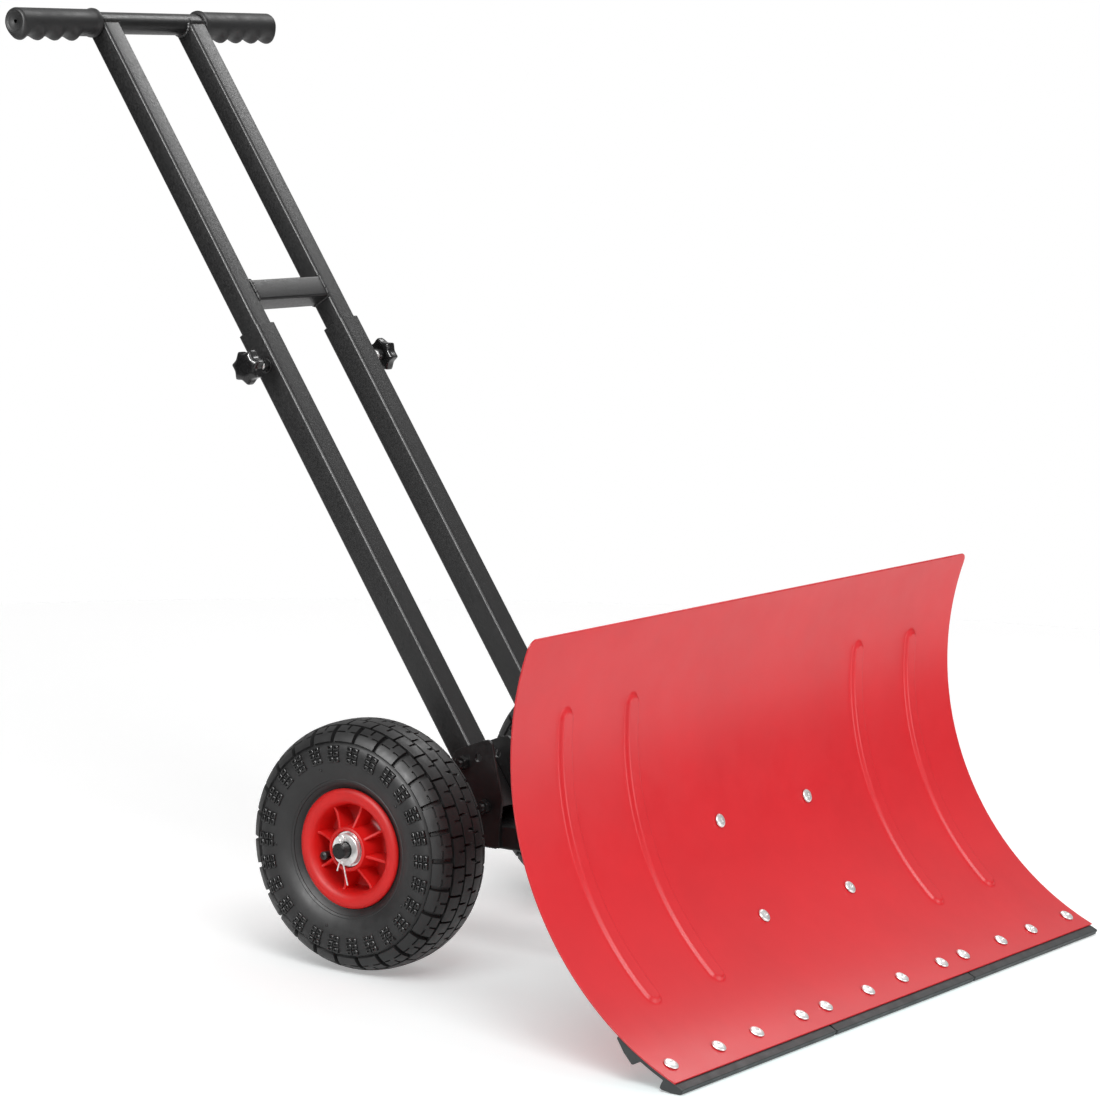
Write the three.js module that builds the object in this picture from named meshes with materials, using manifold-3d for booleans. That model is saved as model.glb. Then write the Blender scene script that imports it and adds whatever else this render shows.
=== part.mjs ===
// Wheeled snow shovel: a curved steel blade on a frame with two pneumatic wheels, pushed by a
// T-handle that slides in two clamped rails.
// Millimetres, +Z up, -Y forward (towards the snow), +X to the left of the person pushing.
// Everything is laid out from the wheel axle, and the whole is centred over the origin at the end.

import * as THREE from 'three';
import { mergeVertices } from 'three/addons/utils/BufferGeometryUtils.js';
import Module from 'manifold-3d';

const wasm = await Module();
wasm.setup();

// ---------- driving dimensions ----------

const GAP = 0.3; // clearance between pieces that touch
const SIDES = [{ side: 'left', sign: 1 }, { side: 'right', sign: -1 }];

const WHEEL_RADIUS = 127; // 10 inch wheel
const WHEEL_PLANE = 204; // wheel centre plane, from the middle of the axle
const TYRE_HALF_WIDTH = 43;
const RIM_HALF_WIDTH = 35;
const RIM_LIP_RADIUS = 61;
const BEAD_SEAT_RADIUS = 50;
const LIP_BACK = 30.6; // inner face of the rim's lip
const RIM_HUB_FACE = 37; // end of the hub
const RIM_RIBS = 8;
const RIM_RIB_THICKNESS = 2.6;
const RIM_RIB_TURN = THREE.MathUtils.degToRad(32); // of the first rib, about the wheel's axis
const HUB_RADIUS = 22;
const TYRE_SIDES = 28;
const RIM_SIDES = 16;
const TUBE_SIDES = 8;
const TUBE_CENTRE = 84;
const TUBE_RADIAL = 27;
const TUBE_HALF_WIDTH = 26;
const TUBE_WALL = 3;
const VALVE_RADIUS = 4;
const VALVE_ALONG = 14;
const VALVE_TURN = THREE.MathUtils.degToRad(20);
const BEARING_RADIUS = 18.2;
const BEARING_WIDTH = 11;
const BEARING_RECESS = 3.5; // how deep the bearing sits in the hub
const WASHER_RADIUS = 16;
const WASHER_THICKNESS = 6; // keeps the wheel off the split pin
const AXLE_RADIUS = 8;
const AXLE_END = 255; // half of the axle's length
const PIN_PLANE = 249; // the split pin's hole in the axle, from the middle
const PIN_HOLE_RADIUS = 2.2;
const PIN_WIRE_RADIUS = 0.8;
const PIN_LEG_OFFSET = 1.05; // of each leg from the middle of the hole
const PIN_EYE_RADIUS = 3.1;
const PIN_EYE_HEIGHT = 12.4; // of the eye's middle above the axle's

const BLADE_WIDTH = 812; // 32 inch blade
const BLADE_RADIUS = 298; // of its hollow front face
const BLADE_CENTRE_Y = -615.2;
const BLADE_CENTRE_Z = 286.9;
const BLADE_BOTTOM_ANGLE = -1.185; // radians from +Y, turning up
const BLADE_ARC = 462; // along the curve, bottom edge to top edge
const BLADE_THICKNESS = 1.6;
const BLADE_CORNER_RADIUS = 10;
const RIB_WIDTH = 18;
const RIB_HEIGHT = 2.2;
const RIB_PLANES = [211, 321];
const RIB_LOW = 88; // along the curve from the bottom edge
const RIB_HIGH = 384;

const SCRAPER_COUNT = 3;
const SCRAPER_NAMES = ['right', 'centre', 'left'];
const SCRAPER_PITCH = 270.6;
const SCRAPER_BOLT_OFFSETS = [-113, -33, 33, 113];
const SCRAPER_BOLT_RISE = 21.5; // along the curve from the bottom edge
const SCRAPER_THICKNESS = 4.2;

const BLADE_BOLT_PLANE = 82;
const BLADE_BOLT_RISES = [137, 240];

const RAIL_PLANE = 71.5; // centre plane of each rail
const RAIL_OUTER = 30; // square lower rail
const RAIL_WALL = 1.5;
const RAIL_INNER = 25; // square upper rail that slides in it
const RAIL_LEAN = THREE.MathUtils.degToRad(34.6); // back from upright
const RAIL_FOOT_Y = -61.4; // lower rail bolt
const RAIL_FOOT_Z = 155.8;
const RAIL_START = -9; // along the rail from the lower bolt
const RAIL_END = 567;
const RAIL_BOLT_PITCH = 50.5;
const KNOB_AT = 524;
const INNER_START = 367;
const CROSSBAR_AT = 608.5;
const HANDLE_AT = 953;

const HANDLE_TUBE_RADIUS = 11.8;
const HANDLE_HALF_LENGTH = 209;
const GRIP_LENGTH = 124;
const GRIP_RADIUS = 15.5;
const GRIP_COLLAR_RADIUS = 16.7;
const GRIP_RIDGES = [42, 63, 84, 105]; // between the fingers, from the grip's inner end
const GRIP_RIDGE_REACH = 9;
const GRIP_RIDGE_HEIGHT = 1.6;
const GRIP_CAP = 3;
const GRIP_VENT_RADIUS = 2;

const MEMBER_WIDTH = 30; // level frame tubes that carry the axle and the blade
const MEMBER_LOW = 113;
const MEMBER_HIGH = 138;
const MEMBER_WALL = 2;
const MEMBER_REAR = 24;
const CROSS_TUBE_Y = -285;
const PLATE_THICKNESS = 3;
const STRAP_WIDTH = 46; // curved straps behind the blade
const STRAP_THICKNESS = 4;
const STRAP_LOW = 108;
const STRAP_HIGH = 268;

// ---------- materials ----------

const material = (color, roughness, metalness) =>
  new THREE.MeshStandardMaterial({ color, roughness, metalness });
const redPaint = () => material(0xd23238, 0.35, 0.1);
const blackPaint = () => material(0x2c2c2e, 0.45, 0.2);
const redPlastic = () => material(0xdc2a2a, 0.3, 0);
const blackPlastic = () => material(0x1c1c1e, 0.3, 0);
const gripFoam = () => material(0x343436, 0.8, 0);
const tyreRubber = () => material(0x3c3c3d, 0.85, 0);
const scraperRubber = () => material(0x484c4c, 0.7, 0);
const zincSteel = () => material(0xd8d8d6, 0.3, 0.9);

// ---------- geometry helpers ----------

// A closed surface with shared vertices, no empty triangles, and its faces pointing out.
function welded(geometry) {
  const bare = geometry.clone();
  bare.deleteAttribute('normal');
  bare.deleteAttribute('uv');
  const merged = mergeVertices(bare, 1e-4);
  const { array: place } = merged.attributes.position;
  const corner = (index) => new THREE.Vector3().fromArray(place, 3 * index);
  const triangles = [];
  let volume = 0;
  for (let i = 0; i < merged.index.count; i += 3) {
    const [a, b, c] = merged.index.array.slice(i, i + 3);
    if (a !== b && b !== c && c !== a) {
      triangles.push([a, b, c]);
      volume += corner(a).dot(corner(b).cross(corner(c)));
    }
  }
  const facingOut = volume > 0 ? triangles : triangles.map(([a, b, c]) => [a, c, b]);
  merged.setIndex(facingOut.flat());
  return merged;
}

function toManifold(geometry) {
  const merged = welded(geometry);
  return new wasm.Manifold(new wasm.Mesh({
    numProp: 3,
    vertProperties: new Float32Array(merged.attributes.position.array),
    triVerts: new Uint32Array(merged.index.array),
  }));
}

function toGeometry(body) {
  const { vertProperties, triVerts } = body.getMesh();
  const geometry = new THREE.BufferGeometry();
  geometry.setAttribute('position', new THREE.BufferAttribute(vertProperties, 3));
  geometry.setIndex(new THREE.BufferAttribute(triVerts, 1));
  return geometry;
}

const join = (pieces) =>
  toGeometry(pieces.map(toManifold).reduce((whole, piece) => whole.add(piece)));
const cut = (piece, tools) =>
  toGeometry(tools.map(toManifold).reduce((rest, tool) => rest.subtract(tool), toManifold(piece)));
const common = (piece, other) => toGeometry(toManifold(piece).intersect(toManifold(other)));

const box = (width, depth, height, x = 0, y = 0, z = 0) =>
  new THREE.BoxGeometry(width, depth, height).translate(x, y, z);

// A round bar along Z, centred on the origin unless lifted.
const bar = (radius, length, z = 0, sides = 20) =>
  new THREE.CylinderGeometry(radius, radius, length, sides).rotateX(Math.PI / 2).translate(0, 0, z);
const hexagon = (acrossFlats, height, z = 0) =>
  bar(acrossFlats / Math.sqrt(3), height, z, 6);

const barAlongX = (radius, length, x, y, z, sides = 20) =>
  bar(radius, length, 0, sides).rotateY(Math.PI / 2).translate(x, y, z);

function squareTube(size, wall, low, high, x) {
  const middle = (low + high) / 2;
  const outside = box(size, size, high - low, x, 0, middle);
  const inside = box(size - 2 * wall, size - 2 * wall, high - low + 2, x, 0, middle);
  return cut(outside, [inside]);
}

// A shape drawn in the (Y, Z) plane, made solid along X about the middle plane given.
function prismAlongX(shape, width, middle = 0, curveSegments = 12) {
  const solid = new THREE.ExtrudeGeometry(shape, { depth: width, bevelEnabled: false, curveSegments });
  const toYZX = new THREE.Matrix4().makeBasis(
    new THREE.Vector3(0, 1, 0),
    new THREE.Vector3(0, 0, 1),
    new THREE.Vector3(1, 0, 0),
  );
  return solid.applyMatrix4(toYZX).translate(middle - width / 2, 0, 0);
}

// A profile of [radius, place along the axis] turned about Z.
function turned(profile, sides) {
  const points = profile.map(([radius, along]) => new THREE.Vector2(radius, along));
  return new THREE.LatheGeometry(points, sides).rotateX(Math.PI / 2);
}

function add(group, name, geometry, finish) {
  const mesh = new THREE.Mesh(welded(geometry), finish);
  mesh.name = name;
  group.add(mesh);
  return mesh;
}

// ---------- the blade's curve ----------

const bladeAngle = (rise) => BLADE_BOTTOM_ANGLE + rise / BLADE_RADIUS;

// The point a distance up the curve from the bottom edge, and a distance behind the front face.
function bladePoint(rise, behind) {
  const angle = bladeAngle(rise);
  const radius = BLADE_RADIUS + behind;
  return new THREE.Vector2(
    BLADE_CENTRE_Y + radius * Math.cos(angle),
    BLADE_CENTRE_Z + radius * Math.sin(angle),
  );
}

// A sheet that follows the blade between two rises and two depths behind its front face.
function curvedSheet(low, high, front, back, width, middle, curveSegments) {
  const outline = new THREE.Shape();
  const arc = (behind, from, to, clockwise) => outline.absarc(
    BLADE_CENTRE_Y, BLADE_CENTRE_Z, BLADE_RADIUS + behind, bladeAngle(from), bladeAngle(to), clockwise,
  );
  arc(back, low, high, false);
  arc(front, high, low, true);
  return prismAlongX(outline, width, middle, curveSegments);
}

// Turns a piece made along Z so that Z points out of the blade's front face at that rise.
function onBlade(geometry, x, rise, behind = 0) {
  const place = bladePoint(rise, behind);
  return geometry.rotateX(bladeAngle(rise) + Math.PI / 2).translate(x, place.x, place.y);
}

// ---------- blade, scrapers and their bolts ----------

const scraperBolts = SCRAPER_NAMES.flatMap((name, segment) =>
  SCRAPER_BOLT_OFFSETS.map((offset, place) => ({
    name: `scraper_bolt_${name}_${place + 1}`,
    x: (segment - (SCRAPER_COUNT - 1) / 2) * SCRAPER_PITCH + offset,
  })));

const bladeBolts = SIDES.flatMap(({ side, sign }) =>
  BLADE_BOLT_RISES.map((rise, place) => ({
    name: `${side}_${place === 0 ? 'lower' : 'upper'}`,
    x: sign * BLADE_BOLT_PLANE,
    rise,
  })));

const SCRAPER_BOLT_RADIUS = 3;
const BLADE_BOLT_RADIUS = 4;
const DRILL_LENGTH = 60;
const BELOW_BLADE = -10; // heights between which the front view cuts the blade's full width
const ABOVE_BOTTOM = 50;

// The curved sheet, with its two top corners rounded in the front view.
function bladeSheet() {
  const sheet = curvedSheet(0, BLADE_ARC, 0, BLADE_THICKNESS, BLADE_WIDTH, 0, 12);
  const top = bladePoint(BLADE_ARC, 0).y;
  const outline = new THREE.Shape();
  const half = BLADE_WIDTH / 2;
  const round = BLADE_CORNER_RADIUS;
  outline.moveTo(-half - 1, BELOW_BLADE);
  outline.lineTo(half + 1, BELOW_BLADE);
  outline.lineTo(half + 1, ABOVE_BOTTOM);
  outline.lineTo(half, ABOVE_BOTTOM);
  outline.absarc(half - round, top - round, round, 0, Math.PI / 2, false);
  outline.absarc(-half + round, top - round, round, Math.PI / 2, Math.PI, false);
  outline.lineTo(-half, ABOVE_BOTTOM);
  outline.lineTo(-half - 1, ABOVE_BOTTOM);
  const depth = BLADE_RADIUS - BLADE_CENTRE_Y;
  const frontView = new THREE.ExtrudeGeometry(outline, { depth, bevelEnabled: false, curveSegments: 4 });
  return common(sheet, frontView.rotateX(Math.PI / 2));
}

function bladePiece() {
  const ribs = SIDES.flatMap(({ sign }) => RIB_PLANES.map((plane) =>
    curvedSheet(RIB_LOW, RIB_HIGH, -RIB_HEIGHT, BLADE_THICKNESS / 2, RIB_WIDTH, sign * plane, 8)));
  const holes = [
    ...scraperBolts.map(({ x }) =>
      onBlade(bar(SCRAPER_BOLT_RADIUS + GAP, DRILL_LENGTH, 0, 8), x, SCRAPER_BOLT_RISE)),
    ...bladeBolts.map(({ x, rise }) =>
      onBlade(bar(BLADE_BOLT_RADIUS + GAP, DRILL_LENGTH, 0, 8), x, rise)),
  ];
  return cut(join([bladeSheet(), ...ribs]), holes);
}

// The scraper's section: a flat strip behind the blade with a tooth at its top, and a heavier
// nose below the blade's edge that stands on the ground.
function scraperShape() {
  const back = BLADE_THICKNESS + GAP;
  const outline = new THREE.Shape();
  const behind = (rise, depth) => {
    const point = bladePoint(rise, back + depth);
    return [point.x, point.y];
  };
  outline.moveTo(...behind(-3, 0));
  for (let rise = 0; rise <= 70; rise += 14) {
    outline.lineTo(...behind(rise, 0));
  }
  outline.lineTo(...behind(71, 3.5));
  outline.lineTo(...behind(45, 12.5));
  outline.lineTo(...behind(41, SCRAPER_THICKNESS));
  outline.lineTo(...behind(13, SCRAPER_THICKNESS));
  outline.lineTo(...behind(13, 12.5));
  outline.lineTo(-494, 0);
  outline.lineTo(-509, 0);
  outline.lineTo(...behind(-10, 0.5));
  return outline;
}

function scraperPiece(segment) {
  const middle = (segment - (SCRAPER_COUNT - 1) / 2) * SCRAPER_PITCH;
  const strip = prismAlongX(scraperShape(), SCRAPER_PITCH - GAP, middle);
  const holes = SCRAPER_BOLT_OFFSETS.map((offset) =>
    onBlade(bar(SCRAPER_BOLT_RADIUS + GAP, DRILL_LENGTH, 0, 8), middle + offset, SCRAPER_BOLT_RISE));
  return cut(strip, holes);
}

// A domed bolt whose head sits on the front face, and whose shank reaches behind it.
function boltPiece(radius, headRadius, headHeight, reach, sides = 8) {
  return turned([
    [0, -reach],
    [radius, -reach],
    [radius, GAP],
    [headRadius, GAP],
    [headRadius, GAP + headHeight * 0.45],
    [headRadius * 0.72, GAP + headHeight],
    [0, GAP + headHeight],
  ], sides);
}

function nutPiece(acrossFlats, height, boltRadius) {
  return cut(hexagon(acrossFlats, height), [bar(boltRadius + GAP, height + 2, 0, 12)]);
}

// ---------- base frame ----------

const memberMiddle = (MEMBER_LOW + MEMBER_HIGH) / 2;
const memberHeight = MEMBER_HIGH - MEMBER_LOW;
const strapFront = BLADE_THICKNESS + GAP;
const strapBack = strapFront + STRAP_THICKNESS;

// The side plate between rail and level member: a quadrant round the rail bolts.
function sidePlateShape() {
  const outline = new THREE.Shape();
  outline.moveTo(-79, MEMBER_LOW + 1);
  outline.lineTo(20, MEMBER_LOW + 1);
  outline.lineTo(20, 146);
  outline.lineTo(-13, 192);
  outline.absarc(-32.6, 197.4, 15, -0.2, 1.2, false);
  outline.lineTo(-57, 223.5);
  outline.absarc(-62, 218, 6.5, 0.9, 3, false);
  outline.lineTo(-75, 189.6);
  outline.lineTo(-82, 164.8);
  outline.lineTo(-79, 139);
  return outline;
}

// Points on the rail's centre line, by distance from the lower bolt.
const railPoint = (along) => ({
  y: RAIL_FOOT_Y + along * Math.sin(RAIL_LEAN),
  z: RAIL_FOOT_Z + along * Math.cos(RAIL_LEAN),
});

const SPARE_HOLE = { y: -51, z: 204.5 }; // a second angle for the rails
const RAIL_BOLT_RADIUS = 4;
const PLATE_WELD = { width: 1.5, length: 60, height: 8, middle: -40 };

function sidePlate(middle) {
  const plate = prismAlongX(sidePlateShape(), PLATE_THICKNESS, middle, 3);
  const drill = ({ y, z }, radius) => barAlongX(radius, 20, middle, y, z, 8);
  return cut(plate, [
    drill(railPoint(0), RAIL_BOLT_RADIUS + GAP),
    drill(railPoint(RAIL_BOLT_PITCH), RAIL_BOLT_RADIUS + GAP),
    drill(SPARE_HOLE, RAIL_BOLT_RADIUS),
    drill({ y: 0, z: WHEEL_RADIUS }, AXLE_RADIUS + 2 * GAP),
  ]);
}

function member(plane) {
  const front = bladePoint(BLADE_ARC / 2, strapBack).x - MEMBER_WIDTH; // past the strap, then cut
  const length = MEMBER_REAR - front;
  const middle = (MEMBER_REAR + front) / 2;
  const outside = box(MEMBER_WIDTH, length, memberHeight, plane, middle, memberMiddle);
  const inside = box(
    MEMBER_WIDTH - 2 * MEMBER_WALL, length + 2, memberHeight - 2 * MEMBER_WALL,
    plane, middle, memberMiddle,
  );
  const bladeSide = curvedSheet(STRAP_LOW, STRAP_HIGH, -80, strapBack - 1, MEMBER_WIDTH + 2, plane, 5);
  const axleHole = barAlongX(AXLE_RADIUS + 2 * GAP, MEMBER_WIDTH + 10, plane, 0, WHEEL_RADIUS, 16);
  return cut(outside, [inside, bladeSide, axleHole]);
}

function baseFramePiece() {
  const plateOffset = RAIL_OUTER / 2 + GAP + PLATE_THICKNESS / 2;
  const members = SIDES.map(({ sign }) => member(sign * RAIL_PLANE));
  const plates = SIDES.flatMap(({ sign }) => [-1, 1].map((face) =>
    sidePlate(sign * RAIL_PLANE + face * plateOffset)));
  const welds = SIDES.flatMap(({ sign }) => [-1, 1].map((face) =>
    box(PLATE_WELD.width, PLATE_WELD.length, PLATE_WELD.height,
      sign * RAIL_PLANE + face * (MEMBER_WIDTH / 2), PLATE_WELD.middle, memberMiddle)));
  const straps = SIDES.map(({ sign }) =>
    curvedSheet(STRAP_LOW, STRAP_HIGH, strapFront, strapBack, STRAP_WIDTH, sign * BLADE_BOLT_PLANE, 4));
  const crossTube = box(
    2 * RAIL_PLANE - MEMBER_WIDTH + 1, memberHeight, memberHeight, 0, CROSS_TUBE_Y, memberMiddle,
  );
  const hollowHeight = memberHeight - 2 * MEMBER_WALL;
  const crossHollow = box(2 * RAIL_PLANE, hollowHeight, hollowHeight, 0, CROSS_TUBE_Y, memberMiddle);
  const holes = bladeBolts.map(({ x, rise }) =>
    onBlade(bar(BLADE_BOLT_RADIUS + GAP, DRILL_LENGTH, 0, 8), x, rise));
  return cut(join([...members, ...plates, ...welds, ...straps, crossTube]), [...holes, crossHollow]);
}

function axlePiece() {
  const rod = barAlongX(AXLE_RADIUS, 2 * AXLE_END, 0, 0, WHEEL_RADIUS, 24);
  const holes = SIDES.map(({ sign }) =>
    bar(PIN_HOLE_RADIUS, 30, WHEEL_RADIUS, 8).translate(sign * PIN_PLANE, 0, 0));
  return cut(rod, holes);
}

// ---------- rails and handle, made upright and leant back together ----------

const railLeanGroup = new THREE.Group();
railLeanGroup.position.set(0, RAIL_FOOT_Y, RAIL_FOOT_Z);
railLeanGroup.rotation.x = -RAIL_LEAN;

const STUD_RADIUS = 4;
const NUT_HEIGHT = 6.5;
const KNOB_START = 108; // inner face of the star knob, from the middle plane
const KNOB_DEPTH = 15;
const KNOB_RADIUS = 18.6;
const KNOB_LOBES = 7;
const KNOB_LOBE_DEPTH = 1.8;
const KNOB_BEVEL = 2;

function lowerRailPiece(sign) {
  const x = sign * RAIL_PLANE;
  const tube = squareTube(RAIL_OUTER, RAIL_WALL, RAIL_START, RAIL_END, x);
  const outerFace = x + sign * (RAIL_OUTER / 2);
  const weldNut = hexagon(13, NUT_HEIGHT).rotateY(Math.PI / 2)
    .translate(outerFace + sign * (NUT_HEIGHT / 2 - 0.5), 0, KNOB_AT);
  const drills = [0, RAIL_BOLT_PITCH].map((along) =>
    barAlongX(RAIL_BOLT_RADIUS + GAP, RAIL_OUTER + 10, x, 0, along, 12));
  const studHole = barAlongX(STUD_RADIUS + GAP, 20, outerFace, 0, KNOB_AT, 12);
  return cut(join([tube, weldNut]), [...drills, studHole]);
}

function handleFramePiece() {
  const uprights = SIDES.map(({ sign }) =>
    squareTube(RAIL_INNER, RAIL_WALL, INNER_START, HANDLE_AT - 4, sign * RAIL_PLANE));
  const crossbar = box(2 * RAIL_PLANE - RAIL_INNER + 1, RAIL_INNER, RAIL_INNER, 0, 0, CROSSBAR_AT);
  const crossbarHollow = box(
    2 * RAIL_PLANE, RAIL_INNER - 2 * RAIL_WALL, RAIL_INNER - 2 * RAIL_WALL, 0, 0, CROSSBAR_AT,
  );
  const tube = barAlongX(HANDLE_TUBE_RADIUS, 2 * HANDLE_HALF_LENGTH - 8, 0, 0, HANDLE_AT, 16);
  const bore = barAlongX(HANDLE_TUBE_RADIUS - 1.6, 2 * HANDLE_HALF_LENGTH, 0, 0, HANDLE_AT, 16);
  return cut(join([...uprights, crossbar, tube]), [bore, crossbarHollow]);
}

// The grip is a sleeve with a closed outer end, a collar inboard and four finger ridges.
function gripPiece() {
  const bore = HANDLE_TUBE_RADIUS + 2 * GAP;
  const capInside = GRIP_LENGTH - GRIP_CAP;
  const sleeve = [
    [bore, 0],
    [GRIP_COLLAR_RADIUS, 0],
    [GRIP_COLLAR_RADIUS, 5],
    [GRIP_RADIUS, 7],
  ];
  for (const along of GRIP_RIDGES) {
    sleeve.push(
      [GRIP_RADIUS, along - GRIP_RIDGE_REACH],
      [GRIP_RADIUS + GRIP_RIDGE_HEIGHT, along],
      [GRIP_RADIUS, along + GRIP_RIDGE_REACH],
    );
  }
  sleeve.push(
    [GRIP_COLLAR_RADIUS, GRIP_LENGTH - 5],
    [GRIP_RADIUS - 1, GRIP_LENGTH],
    [GRIP_VENT_RADIUS, GRIP_LENGTH],
    [GRIP_VENT_RADIUS, capInside],
    [bore, capInside],
    [bore, 0],
  );
  return turned(sleeve, 14);
}

function starKnobPiece() {
  const outline = new THREE.Shape();
  const steps = KNOB_LOBES * 4;
  for (let step = 0; step < steps; step += 1) {
    const angle = (2 * Math.PI * step) / steps;
    const radius = KNOB_RADIUS + KNOB_LOBE_DEPTH * (Math.cos(KNOB_LOBES * angle) - 1);
    const put = step === 0 ? 'moveTo' : 'lineTo';
    outline[put](radius * Math.cos(angle), radius * Math.sin(angle));
  }
  const star = new THREE.ExtrudeGeometry(outline, {
    depth: KNOB_DEPTH - 2 * KNOB_BEVEL,
    bevelEnabled: true,
    bevelThickness: KNOB_BEVEL,
    bevelSize: KNOB_BEVEL,
    bevelOffset: -KNOB_BEVEL,
    bevelSegments: 1,
  }).translate(0, 0, KNOB_BEVEL);
  const studStart = RAIL_PLANE + RAIL_INNER / 2 + 2 * GAP - KNOB_START;
  const stud = bar(STUD_RADIUS, 5 - studStart, (5 + studStart) / 2, 12);
  const neck = bar(7.5, 8, -2, 14);
  return join([star, neck, stud]);
}

// ---------- wheels, made with their outward side towards +Z ----------

const mirrored = (points) => points.map(([radius, along]) => [radius, -along]).reverse();

// The tyre's section is open towards the rim, where its two beads sit behind the rim's lips.
function tyrePiece() {
  const bead = BEAD_SEAT_RADIUS + 3 * GAP;
  const beadFace = LIP_BACK - GAP;
  const outside = [
    [bead, beadFace],
    [RIM_LIP_RADIUS, beadFace],
    [78, 41],
    [92, TYRE_HALF_WIDTH],
    [112, 41],
    [123, 35.5],
    [WHEEL_RADIUS, 27],
  ];
  const inside = [[118, 22], [108, 34], [80, 35], [bead + 1, 24]];
  return turned(
    [...outside, ...mirrored(outside), ...mirrored(inside), ...inside, outside[0]],
    TYRE_SIDES,
  );
}

function ringSection(radial, half) {
  const points = [];
  for (let step = 0; step <= TUBE_SIDES; step += 1) {
    const angle = (2 * Math.PI * step) / TUBE_SIDES;
    points.push([TUBE_CENTRE + radial * Math.cos(angle), half * Math.sin(angle)]);
  }
  return points;
}

// A piece made along Z, laid along the wheel's valve direction at a radius and a depth.
const atValve = (geometry, radius, along) =>
  geometry.rotateX(-Math.PI / 2).translate(0, radius, along).rotateZ(VALVE_TURN);

function innerTubePiece() {
  const skin = turned(ringSection(TUBE_RADIAL, TUBE_HALF_WIDTH), TYRE_SIDES);
  const air = turned(ringSection(TUBE_RADIAL - TUBE_WALL, TUBE_HALF_WIDTH - TUBE_WALL), TYRE_SIDES);
  return cut(skin, [air, atValve(bar(2.5, 20, 0, 8), TUBE_CENTRE - TUBE_RADIAL, VALVE_ALONG)]);
}

function valvePiece() {
  const radialStem = atValve(bar(VALVE_RADIUS, 20, 0, 10), 48, VALVE_ALONG);
  const outwardStem = bar(VALVE_RADIUS, 18, VALVE_ALONG + 6, 10).translate(0, 38, 0).rotateZ(VALVE_TURN);
  return join([radialStem, outwardStem]);
}

// One half of the rim: hub, dished web with radial ribs, and the barrel with its rounded lip.
function rimHalfPiece() {
  const bearingSeat = RIM_HUB_FACE - BEARING_RECESS - BEARING_WIDTH - GAP;
  const bore = BEARING_RADIUS + 2 * GAP;
  const body = turned([
    [12, GAP / 2],
    [12, bearingSeat],
    [bore, bearingSeat],
    [bore, RIM_HUB_FACE],
    [HUB_RADIUS, RIM_HUB_FACE],
    [HUB_RADIUS + 1.5, 9],
    [42, 7],
    [43.5, 26],
    [50, RIM_HALF_WIDTH + 0.5],
    [57, RIM_HALF_WIDTH + 0.5],
    [RIM_LIP_RADIUS, RIM_HALF_WIDTH - 2],
    [RIM_LIP_RADIUS, LIP_BACK],
    [BEAD_SEAT_RADIUS, LIP_BACK],
    [BEAD_SEAT_RADIUS, GAP / 2],
    [12, GAP / 2],
  ], RIM_SIDES);
  const ribShape = new THREE.Shape();
  ribShape.moveTo(HUB_RADIUS - 0.5, 5);
  ribShape.lineTo(44, 5);
  ribShape.lineTo(44.2, 24);
  ribShape.lineTo(HUB_RADIUS - 0.5, RIM_HUB_FACE - 3);
  const ribs = Array.from({ length: RIM_RIBS }, (_, index) =>
    new THREE.ExtrudeGeometry(ribShape, { depth: RIM_RIB_THICKNESS, bevelEnabled: false })
      .translate(0, 0, -RIM_RIB_THICKNESS / 2)
      .rotateX(Math.PI / 2)
      .rotateZ(RIM_RIB_TURN + (2 * Math.PI * index) / RIM_RIBS));
  const valveHole = atValve(bar(VALVE_RADIUS + GAP, 16, 0, 10), 48, VALVE_ALONG);
  return cut(join([body, ...ribs]), [valveHole]);
}

function bearingPiece() {
  const half = BEARING_WIDTH / 2;
  const bore = AXLE_RADIUS + 2 * GAP;
  return turned([
    [bore, -half],
    [BEARING_RADIUS, -half],
    [BEARING_RADIUS, half],
    [bore, half],
    [bore, -half],
  ], 16);
}

function washerPiece() {
  const disc = bar(WASHER_RADIUS, WASHER_THICKNESS, 0, 16);
  return cut(disc, [bar(AXLE_RADIUS + GAP, WASHER_THICKNESS + 2, 0, 16)]);
}

// The split pin: an eye above the axle, and two legs through it that are spread below.
function splitPinPiece() {
  const eyeSteps = 8;
  const eye = Array.from({ length: eyeSteps + 1 }, (_, step) => {
    const angle = THREE.MathUtils.degToRad(235 - (290 * step) / eyeSteps);
    return [PIN_EYE_RADIUS * Math.cos(angle), PIN_EYE_HEIGHT + PIN_EYE_RADIUS * Math.sin(angle)];
  });
  const straight = (y) => [[y, -9.2], [y, 0], [y, 7.4]];
  const route = [
    [-8.4, -34], [-5.3, -23], [-2.4, -13], ...straight(-PIN_LEG_OFFSET), ...eye,
    ...straight(PIN_LEG_OFFSET).reverse(), [2.6, -13.2], [5, -21],
  ];
  const middle = new THREE.CatmullRomCurve3(route.map(([y, z]) => new THREE.Vector3(0, y, z)));
  const wire = new THREE.Shape();
  wire.absarc(0, 0, PIN_WIRE_RADIUS, 0, 2 * Math.PI, false);
  return new THREE.ExtrudeGeometry(wire, { steps: 64, curveSegments: 3, extrudePath: middle });
}

// ---------- assembly ----------

const vehicle = new THREE.Group();

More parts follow.
